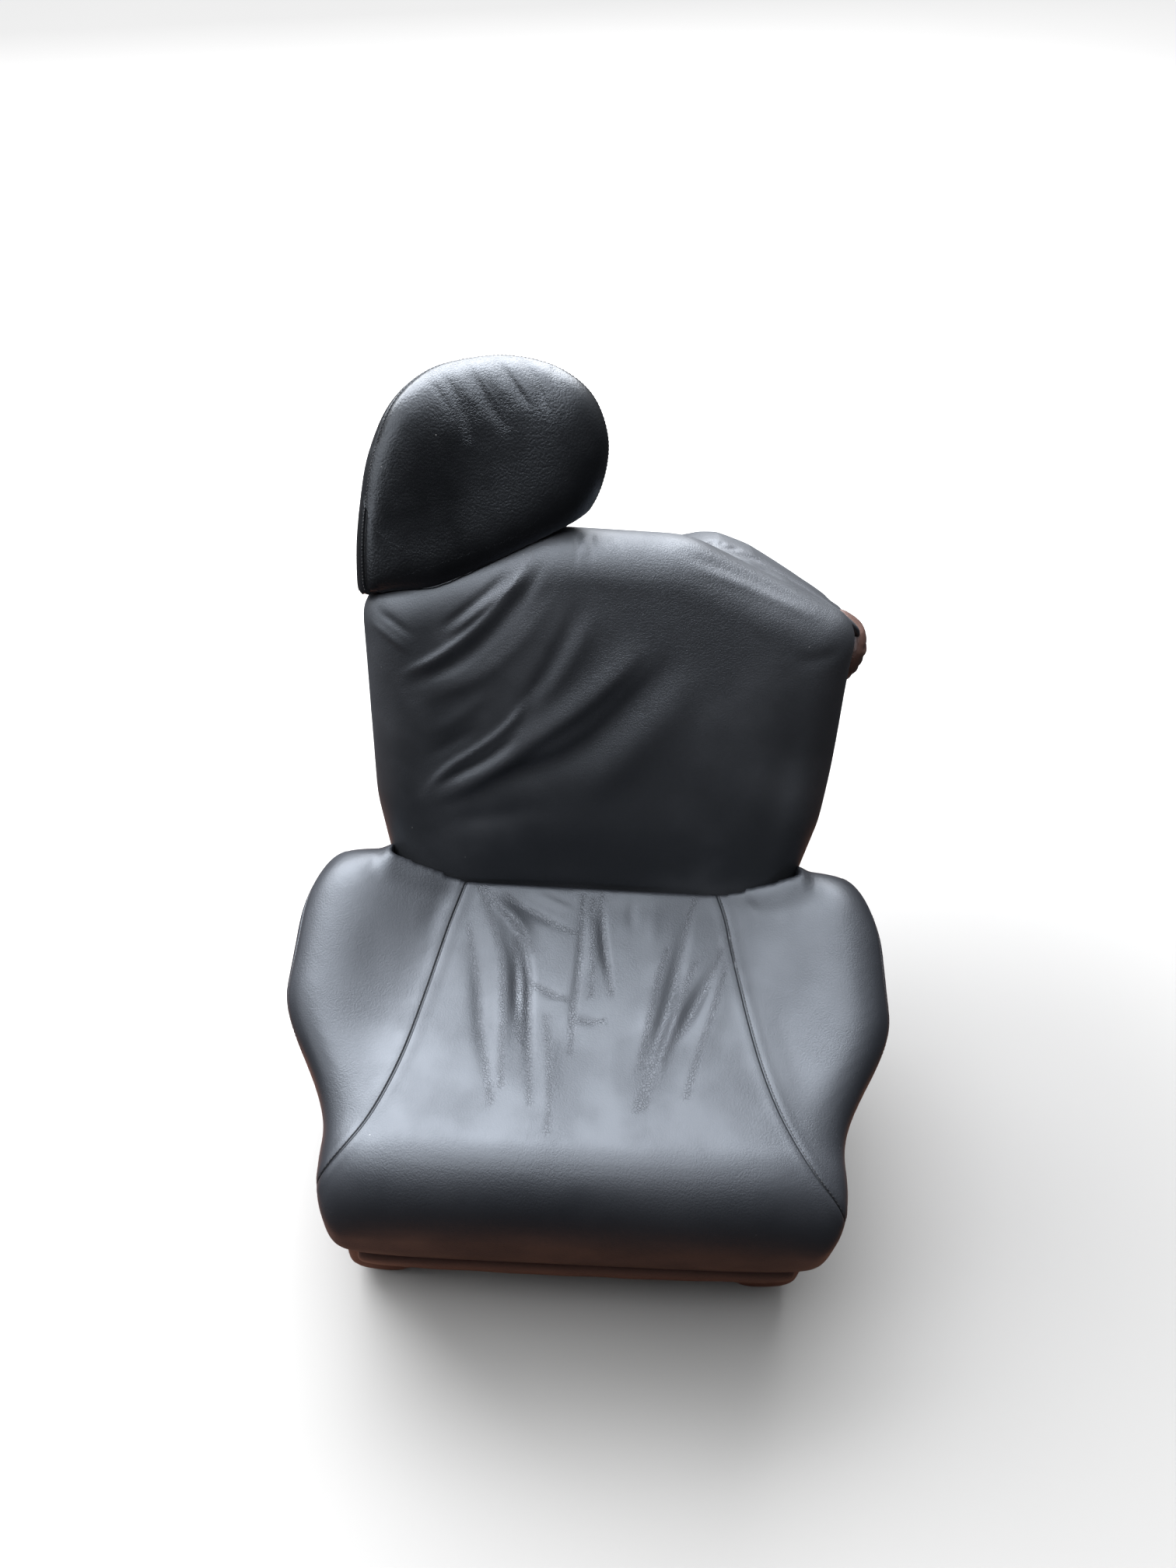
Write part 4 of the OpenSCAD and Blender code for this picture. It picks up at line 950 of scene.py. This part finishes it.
# %% Footrest form
FOOT_X = REST_HALF - REST_LEN * 0.085
FOOT_FRONT, FOOT_REAR = REST_FRONT_Y + REST_LEN * 0.085, REST_FRONT_Y + REST_LEN * 0.9
FOOT_REACH = REST_LEN * 0.115
REST_MID = REST_TOP_Z / 2


def hump(d):
    return np.exp(-(d ** 4))


def foot_share(x, y):
    fore, aft = hump((y - FOOT_FRONT) / FOOT_REACH), hump((y - FOOT_REAR) / FOOT_REACH)
    return hump((np.abs(x) - FOOT_X) / FOOT_REACH) * np.maximum(fore, aft)


def rest_form(polar, turn):
    q = polar / math.pi
    edge = REST_LEN * 0.07
    fore, aft = np.clip(1 - q / 0.2, 0, 1), np.clip((q - 0.8) / 0.2, 0, 1)
    e_fore, e_aft = np.sin(fore * math.pi / 2), np.sin(aft * math.pi / 2)
    y = np.where(q < 0.2, REST_FRONT_Y + edge * (1 - e_fore),
                 np.where(q > 0.8, REST_FRONT_Y + REST_LEN - edge * (1 - e_aft),
                          mix(REST_FRONT_Y + edge, REST_FRONT_Y + REST_LEN - edge,
                              np.clip((q - 0.2) / 0.6, 0, 1))))
    wide = mix(1, 0.97, e_fore ** 4) * mix(1, 0.95, e_aft ** 4)
    top = rounded(e_fore, 3) * rounded(e_aft, 3)
    low = rounded(e_fore, 8) * rounded(e_aft, 5)
    across, lift = square_turn(turn, 6)
    x = across * REST_HALF * wide
    under = 0.0032 + REST_ARCH * (1 - foot_share(x, y))
    z = np.where(lift > 0, REST_MID + (REST_TOP_Z - REST_MID) * lift * top,
                 REST_MID + (REST_MID - under) * lift * low)
    toe = hump((np.abs(x) - FOOT_X) / FOOT_REACH) * ease(1 - z / REST_MID)
    y = y - 0.007 * toe * ease((FOOT_FRONT - y) / (FOOT_FRONT - REST_FRONT_Y) + 0.5)
    return np.stack([x, y, z], 1)


def rest_seam(obj):
    flank = np.abs(normals_of(obj)[:, 2]) < 0.75
    return np.where(flank, points_of(obj)[:, 2] - 0.118, FAR)


rest = stretched_ball("footrest_leather", 200, 140, rest_form)
even_skin(rest, REST_SQUARE, 4)
sew(rest, rest_seam)
store(rest, "wear_and_sheen", 0)
dress(rest, leather_base, "footrest", "footrest_cushion")

# %% [markdown]
# ## Hinge covers
# No steel shows on the real chair. Over the folded right ear the hide is pulled into a long smooth
# roll from the flat top to the shoulder, gathered hard at its inner end, and at the shoulder it
# spills out in a soft lobe. Behind the raised left ear a strip of hide joins it to the backrest, and
# a leather sleeve covers each hinge barrel. The lobe is slack hide.

# %% Cover form
def closed_section(points, turn):
    """Points on a smooth closed curve, at each turn from 0 to a full round."""
    ring = np.concatenate([points, points[:1]])
    for _ in range(2):
        ring = cut_corners(ring)
        ring = np.concatenate([ring, ring[:1]])
    run = run_of(ring)
    at = ((turn / (2 * math.pi)) % 1) * run[-1]
    return along_line(ring, run, at)


def make_cover(name, side, section, centre, low, high, closing, top_at=None):
    """A tube along a hinge with one section, which closes at both ends and may arch to a top."""
    def form(polar, turn):
        along = mix(low, high, (1 - np.cos(polar)) * 0.25 + polar / math.pi * 0.5)
        ends = (np.sin(polar) ** closing)[:, None]
        spots = centre + (closed_section(section, turn) - centre) * ends
        if top_at is not None:
            arch = bell(spots[:, 0] - 0.004, 0.050) * ease((spots[:, 1] + 0.005) / 0.025)
            spots[:, 1] += (top_at(along) - section[:, 1].max()) * arch
        return from_hinge(np.stack([along, spots[:, 0], spots[:, 1]], 1), side)

    cover = stretched_ball(name, 120, 110, form)
    even_skin(cover, COVER_SQUARE, 3)
    return cover


def finish_cover(obj, hide, wear_and_sheen):
    store(obj, "wear_and_sheen", wear_and_sheen)
    store(obj, "seam", FAR)
    dress(obj, hide)


def spot(side, along, rear, up):
    return tuple(from_hinge(np.array([[along, rear, up]]), side)[0])

# %% Cover over the folded right ear
ROLL_ALONG = np.array([-0.030, -0.012, 0.015, 0.070, 0.123, 0.174, 0.222, 0.242, 0.257, 0.266])
ROLL_TOP = np.array([0.010, 0.019, 0.022, 0.030, 0.038, 0.045, 0.045, 0.038, 0.027, 0.010])
RIGHT_SECTION = np.array([
    (-74, 28), (-60, 36), (-40, 39), (-10, 42), (20, 40), (50, 30), (82, 10), (106, -16), (118.5, -46),
    (112, -62), (90, -45), (60, -26), (25, -16), (0, -12), (-30, 4), (-60, 10),
]) / 1000
roll = make_cover("right_hinge_cover", "right", RIGHT_SECTION, np.array([0.010, 0.004]), -0.030, 0.268, 0.30,
                  lambda along: np.interp(along, ROLL_ALONG, ROLL_TOP))
GATHER = np.array([0.238, -0.052])
ROLL_FOLDS = []
for aim, reach in ((-1.25, 0.034), (-0.85, 0.040), (-0.5, 0.060), (-0.2, 0.090), (0.05, 0.120), (0.3, 0.15)):
    way = np.array([-math.cos(aim), -math.sin(aim)])
    ROLL_FOLDS.append(([GATHER + way * reach * t for t in (0.05, 0.35, 0.7, 1.0)],
                       0.0055, -0.0022, 0.0, 0.35))
ROLL_FOLDS += in_metres([
    ([(205, -46), (150, -43), (90, -40), (30, -38)], 4.2, -1.8, 0, 0.3),
    ([(215, -36), (150, -32), (80, -30), (10, -30)], 4.5, -1.4, 0, 0.3),
    ([(190, 30), (150, 70), (120, 110)], 10, -2, 0, 0.4),
    ([(90, 30), (70, 70), (50, 110)], 12, -2.2, 0, 0.4),
    ([(30, 20), (10, 60), (-5, 100)], 9, -2, 0, 0.4),
])
press(roll, lambda obj: to_hinge(points_of(obj), "right")[:, :2], ROLL_FOLDS, sharp=0.006)
# Painted highlight: a pale band along the roll, near its front, drawn in the rubbed colour.
painted_edge_highlight = bell(to_hinge(points_of(roll), "right")[:, 1] + 0.036, 0.012)
finish_cover(roll, leather_back, painted_edge_highlight * 0.8)
spot("right", 0.12, -0.060, 0.02)
spot("right", 0.12, 0.046, 0.02)
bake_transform(roll)

# %% Lobe at the right shoulder
LOBE_PATH = np.array([(-14, 16), (-34, 6), (-45, -16), (-49, -48), (-46, -82), (-28, -116)]) / 1000


def lobe_form(polar, turn):
    knots = np.arange(len(LOBE_PATH))
    at = polar / math.pi * knots[-1]
    along, up = along_line(LOBE_PATH, knots, at).T
    ends = np.sin(polar) ** 0.6
    y = 0.006 + 0.058 * ends * np.cos(turn)
    out = 0.029 * ends * np.sin(turn)
    return from_hinge(np.stack([along + 0.021 - out * 0.9, y, up + out * 0.25], 1), "right")


lobe = stretched_ball("right_shoulder_lobe", 64, 64, lobe_form)
even_skin(lobe, LOBE_SQUARE, 3)
LOBE_FOLDS = in_metres([([(-50, up), (4, up + 6), (56, up + 10)], 3.8, -2.8, 0, 0.2)
                        for up in (-10, -24, -38, -52, -66, -79, -92)])
press(lobe, lambda obj: to_hinge(points_of(obj), "right")[:, [1, 2]], LOBE_FOLDS, sharp=0.004)
finish_cover(lobe, leather_base, 0.3)
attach(lobe, "back")
out_way = Vector(spot("right", -1.0, 0, 0)) - Vector(spot("right", 0, 0, 0))
spot("right", -0.004, 0, -0.03)
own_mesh(lobe)

# %% Cover behind the raised left ear
LEFT_SECTION = np.array([
    (-26, -70), (-15, -50), (2, -28), (15, -10), (20, 6), (19, 28), (14, 50), (6, 70), (-8, 86), (-18, 82),
    (-22, 55), (-21, 30), (-20, 0), (-26, -30), (-34, -62),
]) / 1000
strip = make_cover("left_hinge_cover", "left", LEFT_SECTION, np.array([-0.010, 0.008]), -0.007, 0.270, 0.24)
STRIP_FOLDS = in_metres([
    ([(along, -55), (along + lean, 0), (along, 70)], 6, -1.4, 0, 0.3)
    for along, lean in ((30, 4), (52, -3), (110, 6), (160, -5), (215, 4), (236, -5))
])
press(strip, lambda obj: to_hinge(points_of(obj), "left")[:, [0, 2]], STRIP_FOLDS, sharp=0.005)
finish_cover(strip, leather_soft, 0.15)
spot("left", 0.12, 0.0, -0.045)
spot("left", 0.12, 0.0, 0.055)
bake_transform(strip)

# %% Sleeves round the hinge barrels
for side in ("left", "right"):
    sleeve = drum(side + "_hinge_sleeve", 0.0115, 0.0215, 0.2175, 0, 0, 40)
    bm = bmesh.new()
    bm.from_mesh(sleeve.data)
    rims = [e for e in bm.edges if any(len(f.verts) > 4 for f in e.link_faces)]
    bmesh.ops.bevel(bm, geom=rims, offset=0.004, offset_type="OFFSET", segments=4, profile=0.5,
                    affect="EDGES", material=-1)
    bm.to_mesh(sleeve.data)
    bm.free()
    move_to(sleeve, from_hinge(points_of(sleeve), side))
    face_out(sleeve)
    smooth_faces(sleeve)
    store(sleeve, "wear_and_sheen", 0.2)
    store(sleeve, "seam", FAR)
    dress(sleeve, leather, body="back")

# %% [markdown]
# ## Skirt over the footrest's crease
# The base folds out on two steel hinges in the crease below the nose. On the real chair the hide of
# the nose runs on to the base's front, so a slim padded strip joins the two and hides the hinges.

# %% Crease skirt
SKIRT = np.array([
    (-420, 178), (-432.5, 170), (-439, 159), (-440, 147), (-437, 134), (-429, 121), (-416, 109),
    (-401, 101), (-396, 106), (-408, 116), (-420, 128), (-430.5, 138), (-434.5, 150), (-430, 162),
    (-416, 170),
]) / 1000
SKIRT_MID, SKIRT_HALF = np.array([-0.408, 0.140]), 0.300


def skirt_form(polar, turn):
    flat = SKIRT_MID + (closed_section(SKIRT, turn) - SKIRT_MID) * (np.sin(polar) ** 0.16)[:, None]
    x = -SKIRT_HALF * np.cos(polar)
    wave = 0.0006 * np.sin(x * 55) * np.sin(x * 17 + 1)
    return np.stack([x, flat[:, 0] + wave, flat[:, 1]], 1)


skirt = stretched_ball("crease_skirt", 60, 200, skirt_form)
smooth_faces(skirt)
finish_cover(skirt, leather_base, 0.1)
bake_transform(skirt)

# %% [markdown]
# ## Stitches
# Each seam is sewn with a short, waxed black thread. The stitches are tiny beads laid along the seam
# on the surface, a few dozen faces each, so that the many repeated beads stay light.

# %% Stitch rows
STITCH, EAR_STITCH, OFF_SEAM, EAR_OFF_SEAM = 0.0052, 0.0050, 0.0026, 0.0024
THREAD_WIDE, THREAD_HIGH, THREAD_LIFT = 0.00055, 0.00045, 0.0002
OUTSIDE = 1.4  # how far out of the middle the rays towards a seam start


def make_stitches(name, rows, body):
    """rows: (points on the surface, normals) with one stitch for each pair of points."""
    bm = bmesh.new()
    for spots, ups in rows:
        for a, b, up in zip(spots[:-1], spots[1:], ups):
            along = Vector(b - a)
            if along.length < 1e-5 or along.length > 0.02:
                continue
            x = along.normalized()
            y = Vector(up).normalized().cross(x).normalized()
            turn_to = Matrix((x, y, x.cross(y))).transposed().to_4x4()
            size = Matrix.Diagonal((along.length * 0.36, THREAD_WIDE, THREAD_HIGH, 1))
            bmesh.ops.create_icosphere(bm, subdivisions=1, radius=1.0,
                                       matrix=Matrix.Translation((a + b) / 2) @ turn_to @ size)
    piece = new_piece(name, bm)
    smooth_faces(piece)
    dress(piece, thread, body=body)


def lay_on(obj, starts, aims):
    """Where rays from the starts towards the aims meet the skin, with the skin's normals."""
    bm = bmesh.new()
    bm.from_mesh(obj.data)
    tree = BVHTree.FromBMesh(bm)
    bm.free()
    spots, ups = [], []
    for start, aim in zip(starts, aims):
        hit, up, _, _ = tree.ray_cast(Vector(start), Vector(aim) - Vector(start))
        if hit is not None:
            spots.append(np.array(hit) + np.array(up) * THREAD_LIFT)
            ups.append(up)
    return spots, ups


def paced(line, step):
    """Points a step apart along a line."""
    line = flowing(line)
    run = run_of(line)
    return along_line(line, run, np.arange(0, run[-1], step))


def upright(flat, depth):
    """Points of a panel, given across and up, at a depth in its frame."""
    return np.stack([flat[:, 0], np.full(len(flat), depth), flat[:, 1]], 1)


thread, n, shader = new_material("waxed_thread")
twist = n.noise(n.place(), 1400.0, 2.0)
n.feed(shader, {
    "Base Color": n.blend(n.ramp(twist, 0.3, 0.7), (0.02, 0.02, 0.022, 1), (0.06, 0.06, 0.065, 1)),
    "Normal": n.bump(twist, 0.0002, 0.6),
    "Roughness": 0.5,
})

rows = []
for line in SEAT_SEAMS:
    flat = paced(line, STITCH)
    flat[:, 0] += np.sign(flat[:, 0].mean()) * OFF_SEAM
    rows.append(lay_on(seat, [(x, y, 0.6) for x, y in flat], [(x, y, 0) for x, y in flat]))
flank = [(y, float(seat_side_height(y)) + OFF_SEAM) for y in np.arange(-0.37, 0.030, STITCH)]
for side in (-1, 1):
    rows.append(lay_on(seat, [(side * 0.6, y, z) for y, z in flank], [(0, y, z) for y, z in flank]))
make_stitches("seat_stitches", rows, "seat")

rows = []
half = outline[(outline[:, 1] > 0.01) & (outline[:, 0] > 0)]
line = paced(half[np.argsort(half[:, 1])], STITCH)
deep = BACK_SEAM_Y + OFF_SEAM
for sign in (-1, 1):
    ends = [from_back(upright((line - [0, BACK_MID]) * [sign * far, far] + [0, BACK_MID], deep))
            for far in (OUTSIDE, 0.2)]
    rows.append(lay_on(back, *ends))
make_stitches("back_stitches", rows, "back")

for side in ("left", "right"):
    at = paced(ear_outline(np.linspace(0, 0.72, 400)), EAR_STITCH)
    deep = ear_ring_y(at[:, 0]) + EAR_OFF_SEAM
    ends = [from_ear(upright(EAR_MID + (at - EAR_MID) * far, deep), side) for far in (OUTSIDE, 0.0)]
    make_stitches(side + "_ear_stitches", [lay_on(ears[side], *ends)], side + "_ear")

# %% [markdown]
# ## Metal, webbing, cloth and plastic
# These CAD pieces are right in shape, so they only get their finish: black powder coating on the
# tubes, hinges and recliners, bright zinc on the plates and pins, woven elastic straps, a black cotton
# bottom cover, moulded knobs with a fine spark texture, and rubber glides.

# %% Finishes for the CAD pieces
def make_finish(name, dark, light, rough, scale, depth, metal=0.0, woven=False):
    made, n, shader = new_material(name)
    place = n.place()
    if woven:
        warp, weft = (n.add("ShaderNodeTexWave", {"Vector": place, "Scale": scale, "Distortion": 0.4},
                            bands_direction=way).outputs["Fac"] for way in ("X", "Y"))
        value = n.math("MAXIMUM", warp, weft)
    else:
        value = n.noise(place, scale, 4.0)
    broad = n.noise(place, 14.0, 3.0)
    tint = n.blend(n.ramp(value, 0.3, 0.7), (*dark, 1), (*light, 1))
    n.feed(shader, {
        "Base Color": n.blend(n.ramp(broad, 0.45, 0.75, 0.0, 0.35), tint, (*dark, 1)),
        "Roughness": n.ramp(broad, 0.3, 0.7, rough - 0.05, rough + 0.08),
        "Normal": n.bump(value, depth, 0.5),
        "Metallic": metal,
    })
    return made


zinc = make_finish("zinc_plate", (0.50, 0.49, 0.45), (0.62, 0.61, 0.58), 0.34, 220.0, 0.00005, 1.0)
coated = make_finish("coated_tube", (0.03, 0.03, 0.032), (0.05, 0.05, 0.054), 0.45, 900.0, 0.0001)
strap = make_finish("woven_strap", (0.02, 0.02, 0.02), (0.06, 0.055, 0.05), 0.8, 260.0, 0.0005, woven=True)
cloth = make_finish("bottom_cloth", (0.012, 0.012, 0.013), (0.03, 0.03, 0.032), 0.85, 420.0, 0.0003,
                    woven=True)
plastic = make_finish("moulded_knob", (0.02, 0.02, 0.021), (0.028, 0.028, 0.03), 0.4, 1600.0, 0.00008)
rubber = make_finish("glide_rubber", (0.02, 0.02, 0.02), (0.04, 0.04, 0.04), 0.7, 500.0, 0.0002)
KINDS = {"webbing": strap, "bottom_cover": cloth, "_knob": plastic, "glides": rubber}
KINDS.update(dict.fromkeys(("_frame", "back_arm", "fold_", "_leaf", "ear_bracket", "click_", "recliner_",
                            "cross_shaft"), coated))
for name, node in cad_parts.items():
    node.data.materials.clear()
    node.data.materials.append(next((finish for word, finish in KINDS.items() if word in name), zinc))
print("CAD pieces finished", len(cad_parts))

# %% [markdown]
# ## Floor, light and camera
# The chair stands on a pale floor under soft light from a high window behind it, so that the level
# leather shines and the backrest, which faces away from it, stays dark. The photograph's background
# is cut out to near white, so the camera sees the floor paler than the leather does. The leather
# sees a dark floor with a warm glow close to the chair, which lights its undersides.

# %% Floor
bm = bmesh.new()
bmesh.ops.create_grid(bm, x_segments=2, y_segments=2, size=14.0)
floor = new_piece("floor", bm)
paper, n, shader = new_material("pale_floor")
place = n.place()
soft = n.noise(place, 0.8, 2.0)
seen = n.add("ShaderNodeLightPath").outputs["Is Camera Ray"]
far_off = n.add("ShaderNodeVectorMath", {0: place}, operation="LENGTH").outputs["Value"]
from_painted_shadow = n.add("ShaderNodeVectorMath", {0: place, 1: (0.70, -0.05, 0)}, operation="DISTANCE").outputs["Value"]
glow = n.blend(n.ramp(far_off, 0.50, 0.95), (0.30, 0.145, 0.10, 1), (0.014, 0.013, 0.014, 1))
pale = n.blend(n.ramp(soft, 0.3, 0.7), (0.455, 0.455, 0.457, 1), (0.47, 0.47, 0.47, 1))
# Painted shadow: the floor that the camera sees is darker in a soft patch to the right of the chair.
pale = n.blend(n.ramp(from_painted_shadow, 0.1, 1.0), (0.335, 0.335, 0.337, 1), pale)
lift = n.math("MULTIPLY", seen, n.ramp(far_off, 1.0, 5.0, 0.0, 0.62))
n.feed(shader, {
    "Base Color": n.blend(seen, glow, pale),
    "Emission Color": n.blend(lift, (0, 0, 0, 1), (1, 1, 1, 1)),
    "Emission Strength": 1.0,
    "Roughness": 0.9,
    "Specular IOR Level": 0.1,
})
floor.data.materials.append(paper)

# %% Light
bpy.context.scene.view_settings.view_transform = "Standard"
world = bpy.data.worlds.new("studio")
bpy.context.scene.world = world
world.use_nodes = True
n = Nodes(world.node_tree)
way = n.add("ShaderNodeSeparateXYZ", {0: n.add("ShaderNodeTexCoord").outputs["Generated"]}).outputs
height = n.math("ADD", n.math("MULTIPLY", way["Z"], 0.8), n.math("MULTIPLY", way["Y"], 0.55))
room = n.blend(n.ramp(height, 0.18, 0.95), (0.010, 0.010, 0.011, 1), (1.0, 1.0, 1.0, 1))
seen = n.add("ShaderNodeLightPath").outputs["Is Camera Ray"]
sky = world.node_tree.nodes["Background"]
n.feed(sky, {"Color": n.blend(seen, room, (1.17, 1.17, 1.175, 1)), "Strength": 0.80})

LIGHTS = {
    # place, aim, size in metres, watts
    "window": ((-0.9, 2.4, 2.7), (0, 0, 0.4), (5.6, 3.2), 540),
    "overhead": ((-0.5, 0.2, 3.3), (0, 0, 0.3), (3.4, 2.8), 95),
    "left_wall": ((-3.2, -0.2, 1.8), (0, 0, 0.5), (2.0, 2.0), 24),
}
for name, (place, aim, size, power) in LIGHTS.items():
    light = bpy.data.lights.new(name, "AREA")
    light.shape = "RECTANGLE"
    light.size, light.size_y = size
    light.energy = power
    holder = bpy.data.objects.new(name, light)
    bpy.context.collection.objects.link(holder)
    holder.location = place
    holder.rotation_mode = "QUATERNION"
    holder.rotation_quaternion = (Vector(aim) - Vector(place)).to_track_quat("-Z", "Y")
print("lights", len(LIGHTS))

# %% Camera at the photograph's place
PHOTO_TALL, FOCAL = 2016, 1488  # in pixels of the photograph
camera = bpy.data.objects.new("camera", bpy.data.cameras.new("camera"))
bpy.context.collection.objects.link(camera)
camera.data.sensor_fit = "AUTO"
camera.data.sensor_width = 36.0
camera.data.lens = camera.data.sensor_width * FOCAL / PHOTO_TALL
azimuth, height_angle, roll_angle = (math.radians(v) for v in (-2.19, 50.0, 4.91))
behind = Vector((math.sin(azimuth) * math.cos(height_angle), -math.cos(azimuth) * math.cos(height_angle),
                 math.sin(height_angle)))
right = Vector((0, 0, 1)).cross(behind).normalized()
up = behind.cross(right)
turned_right = right * math.cos(roll_angle) + up * math.sin(roll_angle)
turned_up = up * math.cos(roll_angle) - right * math.sin(roll_angle)
pose = Matrix((turned_right, turned_up, behind)).transposed().to_4x4()
camera.matrix_world = Matrix.Translation((-0.061, -0.9405, 1.790)) @ pose
bpy.context.scene.camera = camera
